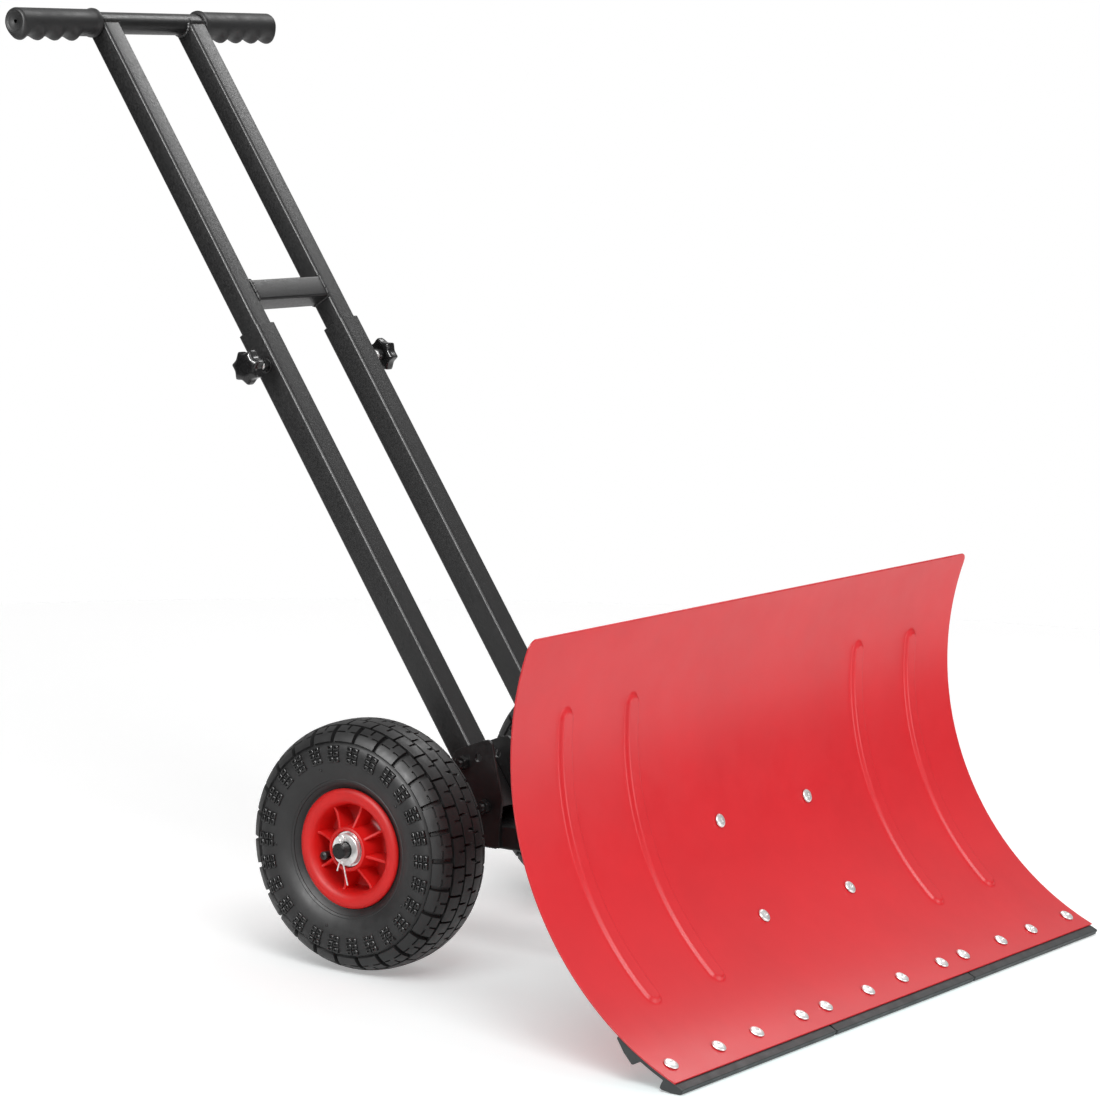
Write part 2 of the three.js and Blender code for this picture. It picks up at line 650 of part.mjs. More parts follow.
function addBlade() {
  add(vehicle, 'blade', bladePiece(), redPaint());
  SCRAPER_NAMES.forEach((name, segment) =>
    add(vehicle, `scraper_${name}`, scraperPiece(segment), scraperRubber()));
  for (const { name, x } of scraperBolts) {
    const bolt = boltPiece(SCRAPER_BOLT_RADIUS, 7.4, 2.8, 13);
    add(vehicle, name, onBlade(bolt, x, SCRAPER_BOLT_RISE), zincSteel());
  }
  const nutHeight = 6;
  for (const { name, x, rise } of bladeBolts) {
    const bolt = boltPiece(BLADE_BOLT_RADIUS, 7, 3, 16);
    add(vehicle, `blade_bolt_${name}`, onBlade(bolt, x, rise), zincSteel());
    const nut = nutPiece(13, nutHeight, BLADE_BOLT_RADIUS);
    const nutDepth = strapBack + GAP + nutHeight / 2;
    add(vehicle, `blade_nut_${name}`, onBlade(nut, x, rise, nutDepth), zincSteel());
  }
}

function addFrame() {
  add(vehicle, 'base_frame', baseFramePiece(), blackPaint());
  add(vehicle, 'axle', axlePiece(), blackPaint());
  const plateFace = RAIL_OUTER / 2 + GAP + PLATE_THICKNESS;
  for (const { side, sign } of SIDES) {
    const bolts = { lower: railPoint(0), upper: railPoint(RAIL_BOLT_PITCH) };
    for (const [level, { y, z }] of Object.entries(bolts)) {
      const station = new THREE.Group();
      station.position.set(sign * RAIL_PLANE, y, z);
      station.rotation.y = sign * Math.PI / 2;
      vehicle.add(station);
      const shank = bar(RAIL_BOLT_RADIUS, 2 * plateFace + 13, 5, 12);
      const head = hexagon(13, 5, -plateFace - GAP - 2.5);
      add(station, `rail_bolt_${side}_${level}`, join([shank, head]), zincSteel());
      const nut = nutPiece(13, NUT_HEIGHT, RAIL_BOLT_RADIUS);
      nut.translate(0, 0, plateFace + GAP + NUT_HEIGHT / 2);
      add(station, `rail_nut_${side}_${level}`, nut, zincSteel());
    }
  }
}

function addRailsAndHandle() {
  vehicle.add(railLeanGroup);
  add(railLeanGroup, 'handle_frame', handleFramePiece(), blackPaint());
  for (const { side, sign } of SIDES) {
    add(railLeanGroup, `lower_rail_${side}`, lowerRailPiece(sign), blackPaint());
    const grip = add(railLeanGroup, `grip_${side}`, gripPiece(), gripFoam());
    grip.position.set(sign * (HANDLE_HALF_LENGTH - GRIP_LENGTH), 0, HANDLE_AT);
    grip.rotation.y = sign * Math.PI / 2;
    const knob = add(railLeanGroup, `clamp_knob_${side}`, starKnobPiece(), blackPlastic());
    knob.position.set(sign * KNOB_START, 0, KNOB_AT);
    knob.rotation.y = sign * Math.PI / 2;
  }
}

function addWheel({ side, sign }) {
  const wheel = new THREE.Group();
  wheel.position.set(sign * WHEEL_PLANE, 0, WHEEL_RADIUS);
  wheel.rotation.y = sign * Math.PI / 2;
  vehicle.add(wheel);
  add(wheel, `tyre_${side}`, tyrePiece(), tyreRubber());
  add(wheel, `inner_tube_${side}`, innerTubePiece(), tyreRubber());
  add(wheel, `valve_${side}`, valvePiece(), blackPlastic());
  add(wheel, `rim_outer_${side}`, rimHalfPiece(), redPlastic());
  const rimInner = add(wheel, `rim_inner_${side}`, rimHalfPiece(), redPlastic());
  rimInner.rotation.x = Math.PI;
  const bearingMiddle = RIM_HUB_FACE - BEARING_RECESS - BEARING_WIDTH / 2;
  for (const [face, facing] of [['outer', 1], ['inner', -1]]) {
    const bearing = add(wheel, `bearing_${face}_${side}`, bearingPiece(), zincSteel());
    bearing.position.z = facing * bearingMiddle;
    bearing.rotation.x = facing > 0 ? 0 : Math.PI;
  }
  const washer = add(wheel, `washer_${side}`, washerPiece(), zincSteel());
  washer.position.z = RIM_HUB_FACE - BEARING_RECESS + GAP + WASHER_THICKNESS / 2;
  const pin = add(vehicle, `split_pin_${side}`, splitPinPiece(), zincSteel());
  pin.position.set(sign * PIN_PLANE, 0, WHEEL_RADIUS);
}

addBlade();
addFrame();
addRailsAndHandle();
SIDES.forEach(addWheel);

// The origin is under the middle of the whole.
vehicle.updateMatrixWorld(true);
const extent = new THREE.Box3().setFromObject(vehicle);
vehicle.position.y = -(extent.min.y + extent.max.y) / 2;

const snowShovel = new THREE.Group();
snowShovel.add(vehicle);

export default snowShovel;
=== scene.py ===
"""Looks of the wheeled snow shovel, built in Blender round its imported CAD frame.

Shapes are drawn in millimetres in the row frame and stored in metres.
-X is the right-hand side, -Y the front with the blade, +Z up.
"""

import math

import bmesh
import bpy
from mathutils import Matrix, Vector


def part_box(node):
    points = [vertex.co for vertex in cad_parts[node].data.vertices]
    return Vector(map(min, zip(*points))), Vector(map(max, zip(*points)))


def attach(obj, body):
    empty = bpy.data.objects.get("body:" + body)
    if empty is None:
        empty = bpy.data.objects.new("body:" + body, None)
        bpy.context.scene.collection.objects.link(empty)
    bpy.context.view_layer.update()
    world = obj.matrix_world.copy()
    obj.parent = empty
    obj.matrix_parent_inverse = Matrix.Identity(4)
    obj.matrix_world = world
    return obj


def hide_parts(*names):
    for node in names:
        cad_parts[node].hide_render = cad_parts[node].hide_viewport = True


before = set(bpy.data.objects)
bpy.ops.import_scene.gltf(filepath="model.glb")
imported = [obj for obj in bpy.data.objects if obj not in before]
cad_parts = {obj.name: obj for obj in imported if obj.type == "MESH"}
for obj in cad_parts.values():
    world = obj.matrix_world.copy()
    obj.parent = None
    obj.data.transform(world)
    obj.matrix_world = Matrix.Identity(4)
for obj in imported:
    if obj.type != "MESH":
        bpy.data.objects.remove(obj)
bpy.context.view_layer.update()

MM = 0.001
FULL_TURN = 2 * math.pi
SIDES = (("left", 1), ("right", -1))

# ---------- sizes and places ----------

axle_low, axle_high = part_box("axle")
AXLE_Y = (axle_low.y + axle_high.y) / 2 / MM
AXLE_Z = (axle_low.z + axle_high.z) / 2 / MM
AXLE_RADIUS = 8
AXLE_END = 255
AXLE_CHAMFER = 1.4
GAP = 0.3  # between pieces that touch

WHEEL_PLANE = 204
RIM_HUB = 22.0
RIM_RIBS = 8
RIM_RIB_TURN = math.radians(32)
RIM_RIB_HALF = 1.35  # half of a rib's thickness
HUB_FACE = 37.0
BEARING_FACE = 33.5
BEARING_WIDTH = 11
SPACER_WIDTH = 6
VALVE_TURN = math.radians(20)
VALVE_RADIUS_AT = 38
TREAD_PITCHES = 26
CELLS = 12  # cells of the tread pattern in one pitch
SHOULDER_GAP = (6.7, 8.6)  # cells between which the shoulder blocks are parted
TREAD_WALL = 0.16  # width of a groove's wall, in cells
TREAD_DEPTH = 4.2
CENTRE_GROOVE = (7.5, 9.1)  # distances from the crown between which a groove runs round
SHOULDER_GROOVE = (24.1, 25.9)
DASHES = (36.0, 37.2)
DASH_CELLS = ((2.5, 6.25), (9.2, 11.4))
SHORT_SIPE_END = 17.3
LONG_SIPE_END = 33.2
TREAD_EDGE = 47.9  # where the tread ends, in a small step and then a fade
TREAD_STEP_END = 48.6
TREAD_FADE_END = 56
SIPE_DEPTH = 1.8  # of the short cuts in a block
DASH_DEPTH = 1.6
TYRE_SECTION = [
    (127, 0), (126.7, 10), (125.4, 20), (122.4, 29), (117.8, 35.8), (111.5, 40), (104, 42.3), (95, 43),
    (86, 42.2), (78, 40.2), (71.5, 37.4), (66.5, 34.4), (63.6, 31.8), (62.2, 30.2),
]  # (radius, half width) from the crown to the bead
MARK_ROWS = 3
MARK_START = 54.2  # of the ladder marks, along the section from the crown
MARK_PITCH = 5.9
MARK_STEP = 0.072  # radians between a mark's two columns
AIR_TUBE_RADIUS = 84
AIR_TUBE_HALF_HEIGHT = 26.5
AIR_TUBE_HALF_WIDTH = 25.5

PIN_PLANE = 249
PIN_WIRE_RADIUS = 0.8
PIN_LEG_OFFSET = 1.05
PIN_EYE_RADIUS = 3.1
PIN_EYE_HEIGHT = 12.4

BLADE_HALF_WIDTH = 406
BLADE_RADIUS = 298
BLADE_CENTRE_Y = AXLE_Y - 615.2
BLADE_CENTRE_Z = AXLE_Z + 159.9
BLADE_BOTTOM_ANGLE = -1.185
BLADE_ARC = 462
BLADE_THICKNESS = 1.6
BLADE_CORNER = 10
HEAD_SIDES = 48
HEAD_LIFT = 0.15  # of a domed head over the face that it clamps
RIB_PLANES = (-321, -211, 211, 321)
RIB_LOW = 88
RIB_HIGH = 384
RIB_HALF_WIDTH = 10
RIB_HEIGHT = 3.5
RIB_FOOT = 1.12  # where a rib's flank starts and how wide it is, in half widths
RIB_FLANK = 0.42

SCRAPER_PITCH = 270.6
SCRAPER_END_GAP = 1.5
SCRAPER_THICKNESS = 4.2
SCRAPER_BOLT_OFFSETS = (-113, -33, 33, 113)
SCRAPER_BOLT_RISE = 21.5
BLADE_BOLT_PLANE = 82
BLADE_BOLT_RISES = (137, 240)

RAIL_LEAN = math.radians(34.6)
RAIL_FOOT_Y = AXLE_Y - 61.4
RAIL_FOOT_Z = AXLE_Z + 28.8
RAIL_PLANE = 71.5
RAIL_OUTER = 30
RAIL_INNER = 25
RAIL_WALL = 1.5
RAIL_START = -9
RAIL_END = 567
RAIL_BOLT_PITCH = 50.5
M8_RADIUS = 4
M8_FLATS = 13
M8_NUT_BORE = 4.1
M6_RADIUS = 3
M6_FLATS = 10
M6_NUT_BORE = 3.1
KNOB_ALONG = 524
KNOB_START = 108
KNOB_LOBES = 7
KNOB_RADIUS = 18.6
KNOB_HOLLOW = 3.8  # depth of the scallops between the lobes
KNOB_SIDES = 140
STUD_TIP_GAP = 0.6  # from the clamped upright
INNER_START = 367
CROSSBAR_ALONG = 608.5
HANDLE_ALONG = 953
HANDLE_RADIUS = 11.8
HANDLE_WALL = 1.6
HANDLE_HALF_LENGTH = 209
HANDLE_TUBE_INSET = 4  # of the tube's end from the grip's end
GRIP_LENGTH = 124
GRIP_RADIUS = 14.6
GRIP_RIDGE_TILT = math.radians(18)  # the finger ridges point down and a little forward
GRIP_FIRST_PEAK = 5
GRIP_RIDGE_END = 99  # where the ridge has faded out
GRIP_RIDGE_LOW = 1.0  # the ridge's height between the peaks
GRIP_PEAK_RISE = 4.6
GRIP_PITCH = 27

MEMBER_LOW = 113
MEMBER_HIGH = 138
MEMBER_WIDTH = 30
MEMBER_REAR = 24
MEMBER_WALL = 2.0
MEMBER_CORNER = 3.0
MEMBER_MIDDLE = (MEMBER_LOW + MEMBER_HIGH) / 2
MEMBER_HEIGHT = MEMBER_HIGH - MEMBER_LOW
CROSS_TUBE_Y = -285
PLATE_THICKNESS = 3
SPARE_HOLE = (AXLE_Y - 51, 204.5, 4.0)  # y, z and radius
STRAP_WIDTH = 46
STRAP_CORNER = 6
STRAP_FRONT = 1.9
STRAP_THICKNESS = 4
STRAP_LOW = 108
STRAP_HIGH = 268

FLOOR_RADIUS = 2.4
WORLD_DIM = 0.14
WORLD_BRIGHT = 0.55
WORLD_LEFT = 0.12  # share of the world's light that comes from -X
CAMERA_TURN = math.radians(-55)
CAMERA_HEIGHT_ANGLE = 0.11870653
CAMERA_PITCH = math.radians(-1.4)  # about the axle, where the object was set level
CAMERA_PLACE = (-3.22085, -2.33465, 0.75194)
CAMERA_LENS = 125.94

RAILS = Matrix.Translation((0, RAIL_FOOT_Y, RAIL_FOOT_Z)) @ Matrix.Rotation(-RAIL_LEAN, 4, "X")
ACROSS_X = Matrix.Rotation(math.pi / 2, 4, "Y")


def wheel_place(sign):
    """The wheel's own frame, with +Z pointing outwards."""
    turn = Matrix.Rotation(sign * math.pi / 2, 4, "Y")
    return Matrix.Translation((sign * WHEEL_PLANE, AXLE_Y, AXLE_Z)) @ turn


def along_x(x, y, z, sign=1):
    """A frame whose +Z points along X, outwards on the given side."""
    return Matrix.Translation((x, y, z)) @ Matrix.Rotation(sign * math.pi / 2, 4, "Y")


# ---------- materials ----------


class Finish:
    """A node material with a Principled shader, and short calls for the nodes it needs."""

    def __init__(self, name, color, roughness, metallic=0.0):
        self.material = bpy.data.materials.new(name)
        self.material.use_nodes = True
        self.tree = self.material.node_tree
        self.shader = self.tree.nodes["Principled BSDF"]
        self.shader.inputs["Base Color"].default_value = (*color, 1)
        self.shader.inputs["Roughness"].default_value = roughness
        self.shader.inputs["Metallic"].default_value = metallic
        self.places = self.node("ShaderNodeTexCoord").outputs["Object"]
        self.height = None

    def node(self, kind, **settings):
        made = self.tree.nodes.new(kind)
        for name, value in settings.items():
            setattr(made, name, value)
        return made

    def link(self, source, target):
        self.tree.links.new(source, target)

    def noise(self, scale, detail=3.0, roughness=0.5, stretch=None):
        """A noise value; scale is in features per metre."""
        made = self.node("ShaderNodeTexNoise")
        made.inputs["Scale"].default_value = scale
        made.inputs["Detail"].default_value = detail
        made.inputs["Roughness"].default_value = roughness
        places = self.places
        if stretch:
            mapping = self.node("ShaderNodeMapping")
            mapping.inputs["Scale"].default_value = stretch
            self.link(places, mapping.inputs["Vector"])
            places = mapping.outputs["Vector"]
        self.link(places, made.inputs["Vector"])
        return made.outputs["Fac"]

    def spread(self, value, low, high, out_low, out_high):
        """Maps a value from one range to another, held at the ends."""
        made = self.node("ShaderNodeMapRange")
        made.inputs["From Min"].default_value = low
        made.inputs["From Max"].default_value = high
        made.inputs["To Min"].default_value = out_low
        made.inputs["To Max"].default_value = out_high
        self.link(value, made.inputs["Value"])
        return made.outputs["Result"]

    def distance(self, centre):
        """Metres from a centre."""
        made = self.node("ShaderNodeVectorMath", operation="DISTANCE")
        made.inputs[1].default_value = centre
        self.link(self.places, made.inputs[0])
        return made.outputs["Value"]

    def vary_color(self, value, dark, light):
        """Base colour from dark to light as the value goes from 0.3 to 0.7."""
        ramp = self.node("ShaderNodeValToRGB")
        ramp.color_ramp.elements[0].position = 0.3
        ramp.color_ramp.elements[1].position = 0.7
        ramp.color_ramp.elements[0].color = (*dark, 1)
        ramp.color_ramp.elements[1].color = (*light, 1)
        self.link(value, ramp.inputs["Fac"])
        self.link(ramp.outputs["Color"], self.shader.inputs["Base Color"])

    def vary_roughness(self, value, low, high):
        self.link(self.spread(value, 0.3, 0.7, low, high), self.shader.inputs["Roughness"])

    def bump(self, value, strength, distance_mm):
        """Adds one layer of bump under those that are already there."""
        made = self.node("ShaderNodeBump")
        made.inputs["Strength"].default_value = strength
        made.inputs["Distance"].default_value = distance_mm * MM
        self.link(value, made.inputs["Height"])
        if self.height:
            self.link(self.height, made.inputs["Normal"])
        self.height = made.outputs["Normal"]
        self.link(self.height, self.shader.inputs["Normal"])

    def set(self, socket, value):
        self.shader.inputs[socket].default_value = value


def lighter(color, factor):
    return tuple(min(1, channel * factor) for channel in color)


def mottled(name, color, roughness, shade, shades, sheen, sheens, bumps, metallic=0.0):
    """A finish whose shade, sheen and relief vary.

    shade, sheen and the first of each bump are settings of a noise. shades are factors of the
    colour, sheens are roughnesses, and a bump ends with its strength and its depth in millimetres.
    """
    finish = Finish(name, color, roughness, metallic)
    finish.vary_color(finish.noise(*shade), lighter(color, shades[0]), lighter(color, shades[1]))
    finish.vary_roughness(finish.noise(*sheen), *sheens)
    for grain, strength, depth in bumps:
        finish.bump(finish.noise(*grain), strength, depth)
    return finish


def blade_paint():
    """Red powder coat on smooth sheet: faint orange peel and slight cloudiness."""
    return mottled(
        "blade_paint", (0.62, 0.014, 0.021), 0.34,
        shade=(9, 4, 0.6), shades=(0.95, 1.05),
        sheen=(38, 3), sheens=(0.33, 0.40),
        bumps=[((900, 2), 0.10, 0.05), ((7, 2), 0.10, 1.2)],
    ).material


def frame_paint():
    """Satin black powder coat with fine orange peel and a little dust in the sheen."""
    return mottled(
        "frame_paint", (0.0065, 0.0065, 0.0068), 0.38,
        shade=(60, 4, 0.65), shades=(0.7, 1.4),
        sheen=(420, 4, 0.7), sheens=(0.30, 0.48),
        bumps=[((700, 4, 0.7), 0.9, 0.16), ((260, 2), 0.10, 0.08)],
    ).material


def rim_plastic():
    """Semi-gloss moulded red plastic with faint flow marks."""
    finish = mottled(
        "rim_plastic", (0.72, 0.010, 0.009), 0.48,
        shade=(30, 3), shades=(0.94, 1.05),
        sheen=(40, 3), sheens=(0.44, 0.52),
        bumps=[((30, 2), 0.05, 0.15)],
    )
    finish.set("Specular IOR Level", 0.28)
    finish.set("Subsurface Weight", 0.04)
    finish.set("Subsurface Radius", (0.004, 0.001, 0.001))
    return finish.material


def knob_plastic():
    """Semi-gloss black moulded plastic."""
    return mottled(
        "knob_plastic", (0.010, 0.010, 0.0105), 0.22,
        shade=(90, 3), shades=(0.8, 1.3),
        sheen=(300, 3), sheens=(0.18, 0.28),
        bumps=[((700, 2), 0.06, 0.05)],
    ).material


def grip_plastic():
    """Matt soft plastic with a fine pebble and slightly worn, smoother high spots."""
    finish = mottled(
        "grip_plastic", (0.011, 0.011, 0.0114), 0.52,
        shade=(110, 4, 0.6), shades=(0.85, 1.25),
        sheen=(60, 3), sheens=(0.45, 0.60),
        bumps=[((1900, 2), 0.30, 0.06), ((120, 2), 0.10, 0.2)],
    )
    finish.set("Sheen Weight", 0.02)
    finish.set("Sheen Roughness", 0.5)
    return finish.material


def tyre_rubber(name, smoothest, roughest):
    """Moulded rubber with mottled bloom and a fine texture."""
    finish = mottled(
        name, (0.0095, 0.0095, 0.0098), smoothest,
        shade=(35, 5, 0.65), shades=(0.7, 1.4),
        sheen=(90, 4), sheens=(smoothest, roughest),
        bumps=[((1300, 3), 0.3, 0.10), ((150, 4, 0.6), 0.16, 0.3)],
    )
    finish.set("Specular IOR Level", 0.42)
    finish.set("Sheen Weight", 0.02)
    finish.set("Sheen Roughness", 0.45)
    return finish.material


def tube_rubber():
    """Butyl rubber of the inner tube and the valve stem."""
    return mottled(
        "tube_rubber", (0.018, 0.018, 0.018), 0.5,
        shade=(80, 4), shades=(0.8, 1.3),
        sheen=(140, 3), sheens=(0.42, 0.58),
        bumps=[((900, 3), 0.15, 0.06)],
    ).material


def scraper_rubber():
    """Extruded dark grey rubber with faint lines along its length."""
    along_strip = (0.04, 1, 1)
    return mottled(
        "scraper_rubber", (0.020, 0.024, 0.025), 0.55,
        shade=(50, 4, 0.6), shades=(0.8, 1.3),
        sheen=(80, 3), sheens=(0.46, 0.62),
        bumps=[((420, 3, 0.5, along_strip), 0.22, 0.15), ((1200, 2), 0.15, 0.06)],
    ).material


def zinc_steel():
    """Bright zinc plate with a slightly uneven, fine-grained surface."""
    return mottled(
        "zinc_steel", (0.80, 0.80, 0.79), 0.36,
        shade=(260, 4, 0.7), shades=(0.86, 1.04),
        sheen=(500, 3), sheens=(0.28, 0.44),
        bumps=[((1500, 3), 0.16, 0.05)], metallic=0.7,
    ).material


def bearing_steel():
    """Ground bearing steel."""
    return mottled(
        "bearing_steel", (0.72, 0.72, 0.72), 0.30,
        shade=(320, 4), shades=(0.88, 1.06),
        sheen=(700, 3), sheens=(0.16, 0.30),
        bumps=[((1100, 2), 0.10, 0.04)], metallic=1.0,
    ).material


def seal_rubber():
    """The bearing's dark rubber seal."""
    return mottled(
        "seal_rubber", (0.012, 0.012, 0.012), 0.45,
        shade=(200, 3), shades=(0.8, 1.4),
        sheen=(300, 3), sheens=(0.38, 0.52),
        bumps=[((1500, 2), 0.12, 0.05)],
    ).material


def black_oxide():
    """Oil-blackened steel with small glints on its edges."""
    finish = mottled(
        "black_oxide", (0.010, 0.010, 0.0102), 0.34,
        shade=(240, 4), shades=(0.6, 1.8),
        sheen=(600, 3), sheens=(0.24, 0.42),
        bumps=[((1100, 2), 0.2, 0.06)],
    )
    finish.set("Specular IOR Level", 0.26)
    return finish.material


SLOT_FINISHES = {
    "blade_paint": blade_paint(),
    "frame_paint": frame_paint(),
    "rim_plastic": rim_plastic(),
    "knob_plastic": knob_plastic(),
    "grip_foam": grip_plastic(),
    "tyre": tyre_rubber("tyre_rubber", 0.42, 0.56),
    "tube_rubber": tube_rubber(),
    "scraper_rubber": scraper_rubber(),
    "zinc_steel": zinc_steel(),
    "bearing_steel": bearing_steel(),
}
SEAL = seal_rubber()
POLISHED_RUBBER = tyre_rubber("polished_rubber", 0.27, 0.36)
BLACK_OXIDE = black_oxide()

# ---------- mesh tools ----------


def loft(rings, closed=False, caps=True):
    """Skin over rings of equally many points; closed joins the last ring to the first."""
    count = len(rings[0])
    verts = [point for ring in rings for point in ring]
    spans = len(rings) if closed else len(rings) - 1
    faces = []
    for ring in range(spans):
        low = ring * count
        high = (ring + 1) % len(rings) * count
        for step in range(count):
            after = (step + 1) % count
            faces.append((low + step, low + after, high + after, high + step))
    if caps and not closed:
        faces.append(tuple(range(count))[::-1])
        faces.append(tuple(range(len(verts) - count, len(verts))))
    return verts, faces


def full_circle(count):
    """Angles spread evenly over a whole turn."""
    return [FULL_TURN * step / count for step in range(count)]


def circle(radius, height, count):
    """Points of a level circle about Z."""
    return [(radius * math.cos(angle), radius * math.sin(angle), height) for angle in full_circle(count)]


def lathe(profile, sides=64, closed=True):
    """A profile of (radius, height) turned about Z. Closed profiles make solid rings."""
    return loft([circle(radius, height, sides) for radius, height in profile], closed=closed, caps=False)


def moved(shape, matrix):
    verts, faces = shape
    return [tuple(matrix @ Vector(v)) for v in verts], faces


def joined(*shapes):
    verts, faces = [], []
    for more_verts, more_faces in shapes:
        start = len(verts)
        verts += more_verts
        faces += [tuple(start + index for index in face) for face in more_faces]
    return verts, faces


def piece(name, shape, slot, body, stands_for=(), place=None, bevel=0.0, sharp=38, material=None):
    """Makes an object from a shape in millimetres, hangs it on its body and hides the CAD parts that it
    stands for.
    """
    verts, faces = moved(shape, place) if place else shape
    mesh = bpy.data.meshes.new(name)
    mesh.from_pydata([(x * MM, y * MM, z * MM) for x, y, z in verts], [], faces)
    solid = bmesh.new()
    solid.from_mesh(mesh)
    bmesh.ops.remove_doubles(solid, verts=solid.verts, dist=2e-6)
    bmesh.ops.recalc_face_normals(solid, faces=solid.faces)
    solid.to_mesh(mesh)
    solid.free()
    for polygon in mesh.polygons:
        polygon.use_smooth = True
    mesh.set_sharp_from_angle(angle=math.radians(sharp))
    made = bpy.data.objects.new(name, mesh)
    bpy.context.scene.collection.objects.link(made)
    mesh.materials.append(material or SLOT_FINISHES[slot])
    if bevel:
        rounding = made.modifiers.new("rounding", "BEVEL")
        rounding.width = bevel * MM
        rounding.segments = 3
        rounding.limit_method = "ANGLE"
        rounding.angle_limit = math.radians(sharp)
        rounding.harden_normals = True
    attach(made, body)
    if stands_for:
        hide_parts(*([stands_for] if isinstance(stands_for, str) else stands_for))
    return made


def painted(name, shape, node, place=None, body="frame", **looks):
    """A piece in the frame's black paint."""
    piece(name, shape, "frame_paint", body, node, place, **looks)


def plated(name, shape, node, place, body="frame", **looks):
    """A zinc-plated fastener; an empty node stands for none."""
    piece(name, shape, "zinc_steel", body, node, place, sharp=32, **looks)


def curve_through(points, per_span=8):
    """Points of a smooth Catmull-Rom curve through the given ones."""
    spots = [Vector(p) for p in points]
    spots = [2 * spots[0] - spots[1], *spots, 2 * spots[-1] - spots[-2]]
    smooth = []
    for p0, p1, p2, p3 in zip(spots, spots[1:], spots[2:], spots[3:]):
        for step in range(per_span):
            t = step / per_span
            smooth.append(
                0.5 * (2 * p1 + (p2 - p0) * t + (2 * p0 - 5 * p1 + 4 * p2 - p3) * t**2
                       + (3 * p1 - 3 * p2 + p3 - p0) * t**3)
            )
    smooth.append(spots[-2])
    return smooth


def sweep(points, radius, sides=10, closed=False):
    """A round bar along points. Radius is a number or a function of the distance travelled."""
    spots = [Vector(p) for p in points]
    count = len(spots)
    rings = []
    travelled = 0.0
    normal = None
    for index, spot in enumerate(spots):
        before = spots[index - 1] if index or closed else spot
        after = spots[(index + 1) % count] if index < count - 1 or closed else spot
        ahead = (after - before).normalized()
        if normal is None:
            normal = ahead.orthogonal()
        normal = (normal - normal.dot(ahead) * ahead).normalized()
        across = ahead.cross(normal)
        size = radius(travelled) if callable(radius) else radius
        rings.append([
            tuple(spot + size * (math.cos(a) * normal + math.sin(a) * across))
            for a in full_circle(sides)
        ])
        if index < count - 1:
            travelled += (spots[index + 1] - spot).length
    return loft(rings, closed=closed)


def weld_bead(points, radius=1.7, closed=False):
    """A rippled weld along a path."""
    spots = []
    ends = list(zip(points, points[1:])) + ([(points[-1], points[0])] if closed else [])
    for start, end in ends:
        start, end = Vector(start), Vector(end)
        steps = max(1, round((end - start).length / 0.8))
        spots += [start.lerp(end, step / steps) for step in range(steps)]
    if not closed:
        spots.append(Vector(points[-1]))
    return sweep(spots, lambda s: radius * (0.9 + 0.34 * abs(math.sin(s * 0.9)) ** 0.7), 8, closed)


def rounded_square(width, height, corner, steps=5):
    """The outline of a rounded rectangle about the origin."""
    outline = []
    for quarter, (sx, sy) in enumerate(((1, 1), (-1, 1), (-1, -1), (1, -1))):
        centre_x = sx * (width / 2 - corner)
        centre_y = sy * (height / 2 - corner)
        for step in range(steps + 1):
            angle = (quarter + step / steps) * math.pi / 2
            outline.append((centre_x + corner * math.cos(angle), centre_y + corner * math.sin(angle)))
    return outline


def square_tube(width, height, wall, low, high, corner=3.0):
    """An open rounded tube along Z."""
    outside = rounded_square(width, height, corner)
    inside = rounded_square(width - 2 * wall, height - 2 * wall, max(corner - wall, 0.6))
    rings = [
        [(x, y, z) for x, y in ring]
        for ring, z in ((outside, low), (outside, high), (inside, high), (inside, low))
    ]
    return loft(rings, closed=True)


def arc(centre_x, centre_y, radius, start, end, steps):
    """Points of an arc in a plane, both ends included."""
    return [
        (centre_x + radius * math.cos(a), centre_y + radius * math.sin(a))
        for a in (start + (end - start) * step / steps for step in range(steps + 1))
    ]


# ---------- fasteners ----------


def dome_head(radius, height):
    """A domed head with a round recess, its flat underside at height 0."""
    steps = 16

    def top(share):
        rise = height * (0.42 + 0.58 * math.sqrt(1 - share**3))
        return rise - (0.45 * height if share < 0.34 else 0)

    loops = [circle(radius * step / steps, top(step / steps), HEAD_SIDES) for step in range(steps + 1)]
    for share, level in ((0.97, 0.7), (0.86, 0.6), (0.84, 0.0), (0.0, 0.0)):
        loops.append(circle(radius * share, level, HEAD_SIDES))
    return loft(loops, caps=False)


def lifted_head(radius, height):
    """A domed head just over the face that it clamps."""
    return moved(dome_head(radius, height), Matrix.Translation((0, 0, HEAD_LIFT)))


def threaded_shank(radius, low, high, pitch=1.25):
    """A shank with thread ridges and chamfered end, along Z."""
    profile = [(0, low), (radius - 0.8, low), (radius - 0.35, low + 0.6)]
    height = low + 0.8
    while height < high - pitch:
        profile += [(radius, height), (radius - 0.45, height + pitch / 2)]
        height += pitch
    profile += [(radius, high), (0, high)]
    return lathe(profile, 20, closed=False)


def hexagon(across_flats, low, high, bore=0.0):
    """A hexagon nut or head with chamfered corners."""
    sides = 36
    sector = math.pi / 3

    def ring(z, limit=math.inf):
        points = []
        for angle in full_circle(sides):
            reach = min(across_flats / 2 / math.cos(angle % sector - sector / 2), limit)
            points.append((reach * math.cos(angle), reach * math.sin(angle), z))
        return points

    chamfer = 0.10 * (high - low) + 0.3
    face_radius = across_flats / 2 * 0.99
    rings = [ring(low, face_radius), ring(low + chamfer), ring(high - chamfer), ring(high, face_radius)]
    if bore:
        return loft([*rings, circle(bore, high, sides), circle(bore, low, sides)], closed=True)
    return loft(rings)


